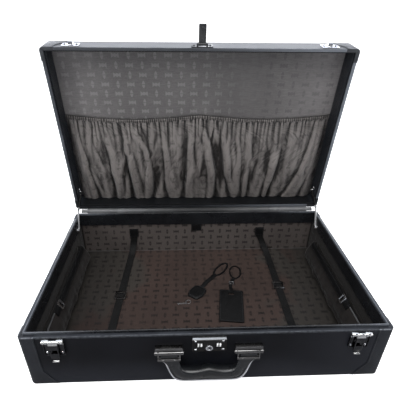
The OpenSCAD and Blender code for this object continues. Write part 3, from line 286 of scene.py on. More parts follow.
def edge_wear():
    """Rubbed edges of a box-shaped tray: high where two of its outer faces are near."""
    w, i, put = shader_group("Edge wear", ("Vector", "Low", "High", "Reach"), ("Wear",))
    skin = 0.5
    x, y, z = w.axes(i["Vector"])
    nx, ny, low, high = [depth.span(i["Reach"], 0.0) for depth in
                         ((HALF_W + skin) * MM - abs(x), (HALF_D + skin) * MM - abs(y),
                          z - i["Low"], i["High"] - z)]
    edges = (nx * ny).max(nx.max(ny) * low.max(high))
    return put(Wear=edges * w.noise(i["Vector"], 160.0, 4.0, 0.65).span(0.28, 0.6))


def handling_marks():
    """Smudges and fine scratches from handling, and pale dust."""
    w, i, put = shader_group("Handling marks", ("Vector", "Scale"), ("Smudge", "Scratch", "Dust"))
    at, scale = i["Vector"], i["Scale"]
    drawn = w.add("ShaderNodeMapping", {"Vector": at, "Rotation": (0.3, 0.2, 0.7), "Scale": (9.0, 1.0, 1.0)})
    return put(Smudge=w.noise(at, scale * 14.0, 5.0, 0.6, 0.4).span(0.3, 0.7),
               Scratch=w.noise(drawn, scale * 90.0, 3.0, 0.5).span(0.62, 0.7),
               Dust=w.noise(at, scale * 420.0, 1.0).span(0.72, 0.8))


GROUPS = {}
MATERIALS = {}


# Materials


class Finish(Wires):
    """A material under construction, with its shader and the coordinates that its nodes read."""

    def __init__(self, name, roughness=0.5, specular=0.5, metallic=0.0):
        self.mat = bpy.data.materials.new(name)
        self.mat.use_nodes = True
        super().__init__(self.mat.node_tree)
        self.shader = self.tree.nodes["Principled BSDF"]
        self.coords = self.read("ShaderNodeTexCoord")
        self.at = self.coords["Object"]
        self.set(Roughness=roughness, Specular_IOR_Level=specular, Metallic=metallic)

    def set(self, **values):
        for label, value in values.items():
            self.feed(self.shader.inputs[label.replace("_", " ")], value)

    def group(self, key, **inputs):
        inputs = {label.replace("_", " "): value for label, value in inputs.items()}
        return self.read("ShaderNodeGroup", inputs, node_tree=GROUPS[key])

    def wear(self, place, lid, below, reach):
        """Wear of the base's or the lid's edges, the rim's counted as below millimetres inside it."""
        low, high = (LID_LOW + below, LID_TOP) if lid else (0.0, BASE_H - below)
        return self.group("wear", Vector=place, Low=low * MM, High=high * MM, Reach=reach)["Wear"]

    def clouded(self, dark, light, *scale):
        """A tone that changes irregularly between two; scale is that of the noise and its detail."""
        return self.mix(self.noise(self.at, *scale).span(0.3, 0.7), dark, light)

    def bump(self, height, distance, strength=1.0, under=None):
        inputs = {"Height": height, "Distance": distance, "Strength": strength}
        if under is not None:
            inputs["Normal"] = under
        n = self.add("ShaderNodeBump", inputs)
        self.set(Normal=n)
        return n

    def shut(self, direction):
        """A direction of the open lid, turned as the lid turns when it shuts."""
        return self.take("ShaderNodeVectorRotate", {"Vector": direction, "Axis": (1, 0, 0),
                                                    "Angle": math.radians(OPEN_ANGLE)},
                         rotation_type="AXIS_ANGLE")

    def closed_lid(self):
        """Object coordinates turned back to where the lid lies when it is shut."""
        hinge = (0, HINGE_Y * MM, HINGE_Z * MM)
        return self.vector("ADD", self.shut(self.vector("SUBTRACT", self.at, hinge)), hinge)


def leather(name, dark, light, rubbed=None, pebble=0.0011, rough=(0.3, 0.44), depth=0.00012, lid=False,
            wear=1.0, specular=0.2, faded=None, reach=(0.325, 0.342), over=None, handled=None, sunned=None,
            dulled=0.0):
    """Black leather: dark and light are its tones, rubbed the tone of its worn edges, faded the tone that
    it has taken towards the two ends of the case, over the reach given in metres from its middle and, if
    over is given, only above that height, handled the tone of the front edge, where hands take hold of it,
    and sunned that of the right end, which faces the window. dulled is how much rougher the middle of the
    length is, where the leather has lost its polish."""
    f = Finish(name, specular=specular)
    place = f.closed_lid() if lid else f.at
    x, _, z = f.axes(f.at)
    grain = f.group("grain", Vector=f.at, Pebble_Size=pebble)
    marks = f.group("marks", Vector=f.at, Scale=1.0)
    tone = f.mix(grain["Unevenness"], dark, light)
    if faded:
        share = abs(x).span(*reach) * f.noise(f.at, 14.0).span(0.25, 0.7, 0.45, 1.0)
        if over:
            share = share * z.span(over - 0.002, over)
        tone = f.mix(share, tone, faded)
    if handled:
        # The grain's depth follows the place along the case's depth, which breaks up the handled edge's
        # sheen
        depth = f.axes(place)[1]
        front = depth.span(-0.15, -0.19)
        tone = f.mix(front, tone, handled)
        f.set(Coat_Weight=front * 0.6, Coat_Roughness=0.3)
    if sunned:
        tone = f.mix(x.span(-0.02, 0.3, 0.0, 0.75), tone, sunned)
    if rubbed:
        tone = f.mix(f.wear(place, lid, 0.0, 0.0028) * wear, tone, rubbed)
    polish = marks["Smudge"].span(0.0, 1.0, *rough)
    if dulled:
        polish = polish + abs(x).span(0.04, 0.28, dulled, 0.0)
    f.set(Base_Color=f.mix(marks["Dust"] * 0.12, tone, (0.3, 0.31, 0.33)), Roughness=polish)
    f.bump(grain["Height"], depth, 0.7)
    return f.mat


def covering(name, lid=False):
    """Coated cloth covering: nearly black, a fine woven grain under the coat, a little dust."""
    f = Finish(name, specular=0.12)
    place, normal = f.at, f.coords["Normal"]
    if lid:
        place, normal = f.closed_lid(), f.shut(normal)
    plane = f.group("plane", Vector=place, Normal=normal)["Vector"]
    marks = f.group("marks", Vector=f.at, Scale=1.0)
    tone = f.clouded((0.0028, 0.003, 0.0045), (0.0048, 0.0052, 0.0075), 9.0, 4.0, 0.6)
    if lid:
        front = f.axes(place)[1].span(-0.216, -0.218)
        tone = f.mix(front, tone, (0.0095, 0.0103, 0.0125))
        f.set(Coat_Weight=front * 0.68, Coat_Roughness=0.34)
    else:
        x, _, z = f.axes(f.at)
        paler = z.span(0.085, 0.0, 0.0, 0.75).max(x.span(0.12, 0.34, 0.0, 0.6))
        tone = f.mix(paler, tone, (0.0185, 0.02, 0.026))
    dusty = f.mix(marks["Dust"] * (0.03 if lid else 0.12), tone, (0.16, 0.17, 0.19))
    f.set(Base_Color=f.mix(f.wear(place, lid, RIM_H, 0.002), dusty, (0.07, 0.075, 0.085)),
          Roughness=marks["Smudge"].span(0.0, 1.0, 0.4, 0.44))
    f.bump(f.group("weave", Vector=plane, Thread_Pitch=0.0011)["Height"], 0.00006, 0.5)
    return f.mat


def figured_lining(name, ground, figure, lid=False, level=False, grid=(0.026, 0.021), size=0.0078,
                   share=0.85, ends=1.0, towards_ends=1.0, aged=None):
    """Woven lining with small figures; ground holds its two tones, figure the figures' tone, aged the tone
    of its duller patches, ends how dark the cloth of the end walls is and towards_ends of that near them.
    level says that the cloth lies flat on the floor."""
    f = Finish(name, roughness=0.62, specular=0.15)
    place = f.closed_lid() if lid else f.at
    plane = place
    if not (lid or level):
        plane = f.group("plane", Vector=place, Normal=f.coords["Normal"])["Vector"]
    weave = f.group("weave", Vector=plane, Thread_Pitch=0.0007)["Height"]
    shape = f.group("figure", Vector=plane, Column=grid[0], Row=grid[1], Size=size)["Figure"]
    x = f.axes(f.at)[0]
    away = abs(x)
    tone = f.clouded(*ground, 6.0, 4.0, 0.6)
    if lid:
        slub = f.noise(f.vector("MULTIPLY", place, (60.0, 430.0, 1.0)), 1.0, 3.0, 0.6)
        tone = f.mix(slub.span(0.35, 0.62, 0.0, 0.34), tone, [c * 0.62 for c in ground[0]])
        figure = f.mix(x.span(-0.02, 0.2, 0.0, 0.9), figure, (0.045, 0.043, 0.043))
    if aged:
        blotch = away + f.noise(f.at, 5.0).span(0.3, 0.7, -0.09, 0.09)
        tone = f.mix(blotch.span(0.19, 0.26), tone, aged)
    speckled = f.mix(f.noise(f.at, 900.0, 2.0).span(0.35, 0.7, 0.0, 0.35), tone, figure)
    worn = f.noise(f.at, 4.5, 2.0).span(0.3, 0.6, 0.55, 1.0) * share
    woven = f.mix(shape * worn, speckled, figure)
    shade = away.span(0.333, 0.338, 1.0, ends) * away.span(0.17, 0.33, 1.0, towards_ends)
    if lid:
        shade = shade * x.span(0.05, 0.3, 1.0, 1.55)
    f.set(Base_Color=f.vector("SCALE", woven, shade), Roughness=shape.span(0.0, 1.0, 0.62, 0.42),
          Sheen_Weight=0.08)
    f.bump(weave * 0.5 + shape * 0.8, 0.0001, 0.6)
    return f.mat


def webbing_cloth(name):
    """Black webbing: ribs across a piece's own UV map, with paler worn crowns."""
    f = Finish(name, roughness=0.62, specular=0.1)
    ribs = f.group("weave", Vector=f.coords["UV"], Thread_Pitch=0.0012)["Height"]
    tone = f.clouded((0.0035, 0.0035, 0.0037), (0.0065, 0.0064, 0.0064), 60.0)
    f.set(Base_Color=f.mix(ribs * 0.3, tone, (0.022, 0.022, 0.022)))
    f.bump(ribs, 0.0002, 0.8)
    return f.mat


def plated(name, tone, rough, metallic=1.0, bright=(), shine=0.85):
    """Plating with smudges and hairline scratches, bright (as much as shine says) in the height bands
    given in metres."""
    f = Finish(name, metallic=metallic)
    marks = f.group("marks", Vector=f.at, Scale=3.0)
    shade = f.mix(marks["Smudge"].span(0.2, 1.0, 0.0, 0.5), tone, [c * 0.7 for c in tone])
    z = f.axes(f.at)[2]
    for low, high in bright:
        shade = f.mix((z > low) * (z < high), shade, (shine, shine, shine * 0.98))
    f.set(Base_Color=shade, Roughness=marks["Smudge"].span(0.0, 1.0, rough * 0.7, rough * 1.5)
          + marks["Scratch"] * 0.25)
    return f.mat


def lacquered(name):
    f = Finish(name)
    marks = f.group("marks", Vector=f.at, Scale=3.0)
    f.set(Base_Color=f.mix(marks["Scratch"] * 0.5, (0.012, 0.0125, 0.014), (0.12, 0.12, 0.13)),
          Roughness=marks["Smudge"].span(0.0, 1.0, 0.26, 0.45))
    return f.mat


def pocket_satin(name, light, dark):
    """Satin on a piece's own UV map: fine ribs along the cloth, small figures and a soft sheen, light or
    dark as the cloth stands out or lies back."""
    f = Finish(name, specular=0.4)
    uv = f.coords["UV"]
    weave = f.group("weave", Vector=uv, Thread_Pitch=0.0009)
    shape = f.group("figure", Vector=uv, Column=0.03, Row=0.024, Size=0.006)["Figure"]
    drawn = f.add("ShaderNodeMapping", {"Vector": uv, "Scale": (2.0, 0.8, 1.0)})
    crush = f.noise(drawn, 34.0, 5.0, 0.62, 1.6)
    fold = f.read("ShaderNodeAttribute", attribute_name="Fold")["Fac"]
    lie = f.math("ADD", fold.span(0.05, 0.95), (crush - 0.5) * 1.9, use_clamp=True)
    f.set(Base_Color=f.mix(shape * 0.35, f.mix(lie, dark, light), dark),
          Roughness=weave["Warp"].span(0.0, 1.0, 0.34, 0.48), Sheen_Weight=0.2, Sheen_Roughness=0.4)
    f.bump(weave["Height"], 0.00008, 0.5, under=f.bump(crush, 0.006, 0.6))
    return f.mat


def thread_finish(name):
    f = Finish(name, specular=0.3)
    f.set(Base_Color=f.mix(f.noise(f.at, 1500.0, 2.0), (0.018, 0.018, 0.02), (0.06, 0.06, 0.064)))
    return f.mat


def fibre_board(name):
    """Fibre board faced with black paper."""
    f = Finish(name, roughness=0.7, specular=0.15)
    fibres = f.noise(f.at, 300.0, 5.0, 0.7)
    f.set(Base_Color=f.mix(fibres.span(0.3, 0.7), (0.006, 0.006, 0.007), (0.012, 0.012, 0.013)))
    f.bump(fibres, 0.0002, 0.5)
    return f.mat


def build_materials():
    GROUPS.update(grain=leather_grain(), weave=cloth_weave(), figure=bow_and_lens(), plane=face_plane(),
                  wear=edge_wear(), marks=handling_marks())
    worn, scuffed = (0.17, 0.18, 0.2), (0.085, 0.092, 0.105)
    black, rubbed_black = (0.014, 0.0155, 0.019), (0.026, 0.0285, 0.034)
    shadow = (0.014, 0.012, 0.011)
    MATERIALS.update(
        covering=covering("Black covering"),
        lid_covering=covering("Black covering of the lid", lid=True),
        base_binding=leather("Black binding leather of the base", black, rubbed_black, scuffed,
                             faded=(0.06, 0.066, 0.077)),
        lid_binding=leather("Black binding leather of the lid", (0.012, 0.013, 0.016), rubbed_black, worn,
                            lid=True, wear=0.35, faded=(0.15, 0.163, 0.185), handled=(0.07, 0.076, 0.088),
                            sunned=(0.3, 0.325, 0.37)),
        lid_corner=leather("Black corner leather of the lid", black, rubbed_black, scuffed, lid=True,
                           handled=(0.05, 0.0545, 0.063)),
        base_corner=leather("Black corner leather of the base", (0.01, 0.011, 0.0138),
                            (0.0175, 0.0192, 0.0235), worn),
        lip=leather("Black leather of the lip", (0.006, 0.0066, 0.008), (0.011, 0.012, 0.014),
                    pebble=0.0008, rough=(0.22, 0.34), specular=0.4, faded=(0.1, 0.109, 0.125),
                    reach=(0.2, 0.334), over=0.1345),
        lid_liner=leather("Black liner leather of the lid", (0.003, 0.0033, 0.004), (0.0055, 0.006, 0.007),
                          pebble=0.0008, rough=(0.28, 0.42), faded=(0.022, 0.025, 0.03)),
        grip=leather("Handle leather", (0.0045, 0.005, 0.006), (0.0082, 0.009, 0.0105), pebble=0.0009,
                     rough=(0.2, 0.3), depth=0.00007, specular=0.55),
        calf=leather("Smooth black calf", (0.0035, 0.0035, 0.0038), (0.006, 0.006, 0.0063), pebble=0.0006,
                     rough=(0.42, 0.58), depth=0.00006, specular=0.12),
        roll=leather("Polished leather of the hinge roll", (0.008, 0.0083, 0.009), (0.015, 0.0155, 0.0165),
                     pebble=0.0009, rough=(0.16, 0.26), depth=0.00004, specular=0.45,
                     faded=(0.15, 0.152, 0.156), reach=(0.02, 0.3), dulled=0.4),
        bead=leather("Turned edge of the side pockets", (0.045, 0.046, 0.048), (0.085, 0.086, 0.088),
                     pebble=0.0007, rough=(0.26, 0.38), depth=0.00005),
        edge_paint=leather("Burnished edge", (0.3, 0.305, 0.33), (0.42, 0.425, 0.45), pebble=0.0007,
                           rough=(0.25, 0.38), depth=0.00004),
        lining=figured_lining("Figured lining of the walls", ((0.074, 0.062, 0.057), (0.096, 0.082, 0.075)),
                              (0.014, 0.012, 0.0115), ends=0.16),
        floor_lining=figured_lining("Figured lining of the floor",
                                    ((0.033, 0.0215, 0.0178), (0.044, 0.0285, 0.0236)),
                                    (0.0085, 0.0068, 0.0064), level=True, towards_ends=0.55,
                                    aged=(0.034, 0.0297, 0.0255)),
        lid_lining=figured_lining("Figured lining of the lid", ((0.096, 0.09, 0.089), (0.14, 0.132, 0.13)),
                                  (0.2, 0.192, 0.19), lid=True, grid=(0.0305, 0.0225), size=0.0088,
                                  share=0.75, towards_ends=1.3),
        side_pocket_cloth=figured_lining("Figured lining of the side pockets",
                                         ((0.0095, 0.0079, 0.0073), (0.0155, 0.0129, 0.0117)),
                                         (0.006, 0.0052, 0.005)),
        pocket_cloth=pocket_satin("Satin of the ruched pocket", (0.19, 0.173, 0.163), shadow),
        dark_cloth=pocket_satin("Dark edge of the ruched pocket", shadow, (0.009, 0.008, 0.007)),
        webbing=webbing_cloth("Black webbing"),
        thread=thread_finish("Black waxed thread"),
        board=fibre_board("Fibre board"),
        lacquer=lacquered("Black lacquer"),
        black_paint=lacquered("Black paint of the digits"),
        chrome=plated("Bright plating", (0.82, 0.83, 0.85), 0.13),
        smoked=plated("Smoked plating", (0.045, 0.045, 0.048), 0.16),
        latch_plating=plated("Smoked plating of the latches", (0.05, 0.05, 0.053), 0.16,
                             bright=((0.1195, 0.14), (0.07, 0.0805)), shine=0.7),
        lock_plating=plated("Smoked plating of the lock", (0.035, 0.034, 0.034), 0.14,
                            bright=((0.126, 0.14),), shine=0.42),
        brushed=plated("Brushed plating of the stays", (0.9, 0.9, 0.91), 0.38, 0.35),
        tarnished=plated("Dulled plating", (0.17, 0.167, 0.165), 0.17),
        dial=plated("Brushed number wheels", (0.95, 0.95, 0.94), 0.4, 0.25),
        steel=plated("Bare steel", (0.5, 0.5, 0.51), 0.35),
    )


# Mesh helpers

# Corners nearer than this, in metres, are one corner
WELD = 2e-6


def link(name, data):
    obj = bpy.data.objects.new(name, data)
    bpy.context.scene.collection.objects.link(obj)
    return obj


def dress(obj, material):
    obj.data.materials.clear()
    obj.data.materials.append(MATERIALS[material])


def finish(obj, material, body, slot, *stands_for):
    """Gives a piece its material, body, its finish's slot and the CAD nodes that it stands for."""
    dress(obj, material)
    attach(obj, body)
    if stands_for:
        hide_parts(*stands_for)
    return obj


@contextmanager
def edited(mesh):
    """The mesh opened for bmesh's tools and written back at the end."""
    b = bmesh.new()
    b.from_mesh(mesh)
    yield b
    b.to_mesh(mesh)
    b.free()


def smooth(mesh, sharp=None):
    """Shades a mesh smooth, but for edges sharper than the angle given in degrees."""
    mesh.polygons.foreach_set("use_smooth", [True] * len(mesh.polygons))
    if sharp:
        mesh.set_sharp_from_angle(angle=math.radians(sharp))


def turn_outward(obj, sharp):
    with edited(obj.data) as b:
        bmesh.ops.recalc_face_normals(b, faces=b.faces)
    obj.data.set_sharp_from_angle(angle=math.radians(sharp))
    return obj


def piece_from(name, points_mm, faces, on_lid=False, edges=()):
    """Mesh object from points in millimetres; on_lid says that they are those of the closed lid."""
    mesh = bpy.data.meshes.new(name)
    mesh.from_pydata([tuple(c * MM for c in p) for p in points_mm], edges, faces)
    if on_lid:
        mesh.transform(LID)
    smooth(mesh)
    mesh.update()
    return link(name, mesh)


def plain_mesh(obj):
    """Mesh that an object's modifiers or text make."""
    bpy.context.view_layer.update()
    return bpy.data.meshes.new_from_object(obj.evaluated_get(bpy.context.evaluated_depsgraph_get()))


def applied(obj):
    """Replaces obj's modifiers by their result."""
    mesh, old = plain_mesh(obj), obj.data
    obj.modifiers.clear()
    obj.data = mesh
    bpy.data.meshes.remove(old)


def softened(node, name, material, body, slot, width=0.4, segments=2):
    """A copy of a CAD node with its sharp edges rounded, as handled or bent metal and leather have them."""
    mesh = nodes[node].data.copy()
    with edited(mesh) as b:
        bmesh.ops.remove_doubles(b, verts=b.verts, dist=WELD)
        bmesh.ops.dissolve_limit(b, angle_limit=math.radians(0.6), verts=b.verts, edges=b.edges)
    obj = link(name, mesh)
    bevel = obj.modifiers.new("rounded", "BEVEL")
    bevel.width = width * MM
    bevel.segments = segments
    bevel.limit_method = "ANGLE"
    bevel.angle_limit = math.radians(32)
    bevel.harden_normals = False
    applied(obj)
    smooth(obj.data, 28)
    return finish(obj, material, body, slot, node)


# The case


def dress_cad_nodes():
    """Gives the CAD nodes that keep their own shape their materials."""
    kept = {"board": "base_shell lid_shell", "covering": "base_cover", "lid_covering": "lid_cover",
            "lining": "base_lining", "lid_lining": "lid_lining", "steel": "dial_shafts hinge_pins lock_bolt",
            "chrome": "hasp_pins base_screws", "smoked": "lid_screws", "tarnished": "handle_pins"}
    for material, names in kept.items():
        for node in names.split():
            dress(nodes[node], material)


def round_hardware():
    """Plated and lacquered pieces and the leather bindings, with their edges rounded: the CAD node, its
    material, body, slot and the width of the rounding, with %s for either side."""
    plan = [
        ("latch_plate_%s", "latch_plating", "base", "dark_chrome", 0.35),
        ("latch_hasp_%s", "latch_plating", "hasp_%s", "chrome", 0.4),
        ("lid_catches", "chrome", "lid", "chrome", 0.4),
        ("lock_case", "lock_plating", "base", "dark_chrome", 0.3),
        ("lock_socket", "chrome", "base", "chrome", 0.3),
        ("handle_bracket_%s", "tarnished", "base", "chrome", 0.4),
        ("handle_loops", "tarnished", "handle", "chrome", 0.4),
        ("tab_plate", "lacquer", "lid", "black_metal", 0.4),
        ("lock_tab", "lacquer", "centre_hasp", "black_metal", 0.4),
        ("strap_sliders", "tarnished", "base", "chrome", 0.35),
        ("buckles", "chrome", "base", "chrome", 0.35),
        ("hinge_base_leaves", "smoked", "base", "chrome", 0.2),
        ("hinge_lid_leaves", "smoked", "lid", "chrome", 0.2),
        ("stay_base_pivots", "chrome", "base", "chrome", 0.3),
        ("stay_lid_pivots", "chrome", "lid", "chrome", 0.3),
        ("stay_lower_%s", "brushed", "lower_arm_%s", "chrome", 0.3),
        ("stay_upper_%s", "tarnished", "upper_arm_%s", "chrome", 0.3),
        ("base_rim", "base_binding", "base", "binding", 0.8),
        ("lid_rim", "lid_binding", "lid", "binding", 0.8),
        ("base_lip", "lip", "base", "binding", 1.1),
        ("lid_liner", "lid_liner", "lid", "binding", 0.5),
        ("strap_anchors", "calf", "base", "binding", 0.4),
    ]
    plan += [("dial_%d" % i, "dial", "wheel_%d" % i, "chrome", 0.15) for i in (1, 2, 3, 4)]
    plan += [(part + "_corners", part + "_corner", part, "binding", 0.45) for part in ("base", "lid")]
    for node, material, body, slot, width in plan:
        for side in ("left", "right") if "%s" in node else ("",):
            name = node.replace("%s", side)
            softened(name, name + "_piece", material, body.replace("%s", side), slot, width)


# Forms in mesh code


def shell_faces(rows, cols):
    """Faces of a closed thin shell: a grid of front points, then the same grid of back points."""
    idx = np.arange(rows * cols).reshape(rows, cols)
    n = rows * cols
    a, b, c, d = idx[:-1, :-1], idx[:-1, 1:], idx[1:, 1:], idx[1:, :-1]
    faces = [np.stack([a, b, c, d], -1).reshape(-1, 4), np.stack([a, d, c, b], -1).reshape(-1, 4) + n]
    for rim, forward in ((idx[0], False), (idx[-1], True), (idx[:, 0], True), (idx[:, -1], False)):
        p, q = (rim[:-1], rim[1:]) if forward else (rim[1:], rim[:-1])
        faces.append(np.stack([p, q, q + n, p + n], -1))
    return np.concatenate(faces).tolist()


def run(points, axis):
    """Length run along a grid of points, from its first row or column on."""
    steps = np.linalg.norm(np.diff(points, axis=axis), axis=-1)
    return np.pad(np.cumsum(steps, axis=axis), [(1 if k == axis else 0, 0) for k in range(steps.ndim)])


def lay_uv(mesh, uv):
    """UV map from one pair of millimetres for each vertex."""
    layer = mesh.uv_layers.new(name="Cloth")
    loops = np.empty(len(mesh.loops), int)
    mesh.loops.foreach_get("vertex_index", loops)
    layer.data.foreach_set("uv", (uv.reshape(-1, 2) * MM)[loops].ravel())


def cloth_shell(name, grid, thick, on_lid=False):
    """Thin closed sheet about a grid (rows, columns, 3) of points in millimetres."""
    n = np.cross(np.gradient(grid, axis=1), np.gradient(grid, axis=0))
    n /= np.linalg.norm(n, axis=2, keepdims=True) + 1e-9
    points = np.stack([grid + n * thick / 2, grid - n * thick / 2]).reshape(-1, 3)
    obj = piece_from(name, points.tolist(), shell_faces(*grid.shape[:2]), on_lid)
    uv = np.stack([run(grid, 1), run(grid, 0)], -1)
    lay_uv(obj.data, np.stack([uv, uv]))
    return obj


def store_folds(obj, values):
    """Keeps for each point how far the cloth stands out (1) or lies back (0)."""
    layer = obj.data.attributes.new("Fold", "FLOAT", "POINT")
    layer.data.foreach_set("value", values.astype(np.float32))


def loft(name, rings, on_lid=False, sharp=80):
    """Closed form through rings (stations, points round, 3) in millimetres, its ends capped."""
    r = np.asarray(rings, float)
    count, m = r.shape[:2]
    idx = np.arange(count * m).reshape(count, m)
    nxt = np.roll(idx, -1, axis=1)
    faces = np.stack([idx[:-1], nxt[:-1], nxt[1:], idx[1:]], -1).reshape(-1, 4).tolist()
    faces += [idx[0, ::-1].tolist(), idx[-1].tolist()]
    obj = turn_outward(piece_from(name, r.reshape(-1, 3).tolist(), faces, on_lid), sharp)
    along = run(r.mean(axis=1), 0)
    lay_uv(obj.data, np.stack([run(r, 1), np.repeat(along[:, None], m, 1)], -1))
    return obj


def spline(points, per):
    """Points on a smooth curve through the given ones, per of them for each span."""
    p = np.asarray(points, float)
    ext = np.concatenate([[2 * p[0] - p[1]], p, [2 * p[-1] - p[-2]]])
    out = []
    for i in range(len(p) - 1):
        a, b, c, d = ext[i:i + 4]
        for t in np.arange(per) / per:
            out.append(0.5 * (2 * b + (c - a) * t + (2 * a - 5 * b + 4 * c - d) * t ** 2
                              + (3 * b - a - 3 * c + d) * t ** 3))
    return np.array(out + [p[-1]])


def directions(path):
    t = np.gradient(path, axis=0)
    return t / np.linalg.norm(t, axis=1, keepdims=True)


def tube_rings(path, radius, sides=10):
    """Rings of a round bar along a path that runs mostly level."""
    t = directions(path)
    side = np.cross(t, [0.0, 0.0, 1.0])
    side /= np.linalg.norm(side, axis=1, keepdims=True)
    up = np.cross(side, t)
    a = np.linspace(0, 2 * np.pi, sides, endpoint=False)
    ring = side[:, None, :] * np.cos(a)[None, :, None] + up[:, None, :] * np.sin(a)[None, :, None]
    return path[:, None, :] + ring * radius


def field(x, y, z=0.0):
    """Smooth irregular values between about -1 and 1 on arrays of coordinates."""
    flat = [noise.noise(Vector((a, b, z))) for a, b in zip(np.ravel(x), np.ravel(y))]
    return np.array(flat).reshape(np.shape(x))


def waves(turns):
    return np.sin(2 * np.pi * turns)


# Stitches


def stitch_tree():
    """Saddle stitches along a polyline: short ellipsoids of thread, each tilted a little."""
    tree = bpy.data.node_groups.new("Saddle stitches", "GeometryNodeTree")
    for label, kind, value in (("Geometry", "Geometry", None), ("Pitch", "Float", 0.003),
                               ("Stitch Length", "Float", 0.0022), ("Thread Radius", "Float", 0.00035),
                               ("Seed", "Int", 3), ("Thread", "Material", None)):
        socket = tree.interface.new_socket(label, in_out="INPUT", socket_type="NodeSocket" + kind)
        if value is not None:
            socket.default_value = value
    tree.interface.new_socket("Geometry", in_out="OUTPUT", socket_type="NodeSocketGeometry")
    w = Wires(tree)
    i, end = w.read("NodeGroupInput"), w.add("NodeGroupOutput")
    curve = w.add("GeometryNodeMeshToCurve", {"Mesh": i["Geometry"]})
    points = w.add("GeometryNodeResampleCurve", {"Curve": curve, "Length": i["Pitch"]}, mode="LENGTH")
    aim = w.add("FunctionNodeAlignRotationToVector", {"Vector": w.add("GeometryNodeInputTangent")}, axis="Z")
    lean = w.add("FunctionNodeRandomValue", {"Min": (-0.12, -0.12, 0.0), "Max": (0.12, 0.12, 0.0),
                                             "Seed": i["Seed"]}, data_type="FLOAT_VECTOR")
    turned = w.add("FunctionNodeRotateRotation", {"Rotation": aim, "Rotate By": lean}, rotation_space="LOCAL")
    ball = w.add("GeometryNodeMeshUVSphere", {"Segments": 6, "Rings": 4, "Radius": 1.0})
    size = w.add("ShaderNodeCombineXYZ", {"X": i["Thread Radius"], "Y": i["Thread Radius"],
                                          "Z": i["Stitch Length"] * 0.5})
    shape = w.add("GeometryNodeTransform", {"Geometry": ball, "Scale": size})
    copies = w.add("GeometryNodeInstanceOnPoints", {"Points": points, "Instance": shape, "Rotation": turned})
    real = w.add("GeometryNodeRealizeInstances", {"Geometry": copies})
    shaded = w.add("GeometryNodeSetShadeSmooth", {0: real})
    w.feed(end.inputs[0], w.add("GeometryNodeSetMaterial", {"Geometry": shaded, "Material": i["Thread"]}))
    return tree


def stitches(name, lines, body, pitch=3.0, length=2.2, radius=0.32, on_lid=False, slot="soft_leather"):
    """Rows of stitches along lines of points in millimetres, which lie on the leather's surface."""
    points, edges = [], []
    for line in lines:
        start = len(points)
        points += line
        edges += [(start + k, start + k + 1) for k in range(len(line) - 1)]
    obj = piece_from(name, points, [], on_lid, edges)
    tree = GROUPS["stitches"]
    mod = obj.modifiers.new("stitches", "NODES")
    mod.node_group = tree
    values = {"Pitch": pitch * MM, "Stitch Length": length * MM, "Thread Radius": radius * MM, "Seed": 5,
              "Thread": MATERIALS["thread"]}
    for socket in tree.interface.items_tree:
        if socket.item_type == "SOCKET" and socket.in_out == "INPUT" and socket.name in values:
            mod[socket.identifier] = values[socket.name]
    applied(obj)
    return finish(obj, "thread", body, slot)


# Ruched pocket in the lid

POCKET_W = 339.0
POCKET_H = 249.0
POCKET_CLOTH = 0.9
# How far from each end the gathered cloth sinks to the lining
POCKET_END = 26.0
SMALL_FOLDS = 66
# Main folds of the cloth: place at the mouth, half way and at the foot, depth, half width
MAIN_FOLDS = (
    (-262, -242, -238, 6.5, 12), (-316, -301, -286, 5, 11), (-205, -196, -186, 4.5, 10),
    (-170, -128, -136, 8, 13), (-30, -35, -41, 6.5, 12), (8, 44, 49, 8, 12), (56, 67, 97, 6, 11),
    (149, 146, 145, 5.5, 11), (197, 193, 190, 7.5, 13), (240, 220, 205, 5.5, 11),
    (301, 286, 248, 7, 12), (331, 322, 297, 6, 10), (-100, -96, -88, 3.5, 9), (104, 118, 122, 3.5, 9),
)


def mouth_y(x):
    return LID_IN_Y - POCKET_H + 12.0 * np.abs(np.sin(np.pi * x / POCKET_W))


def hump(t, wide=1.0):
    return np.exp(-(t / wide) ** 2)


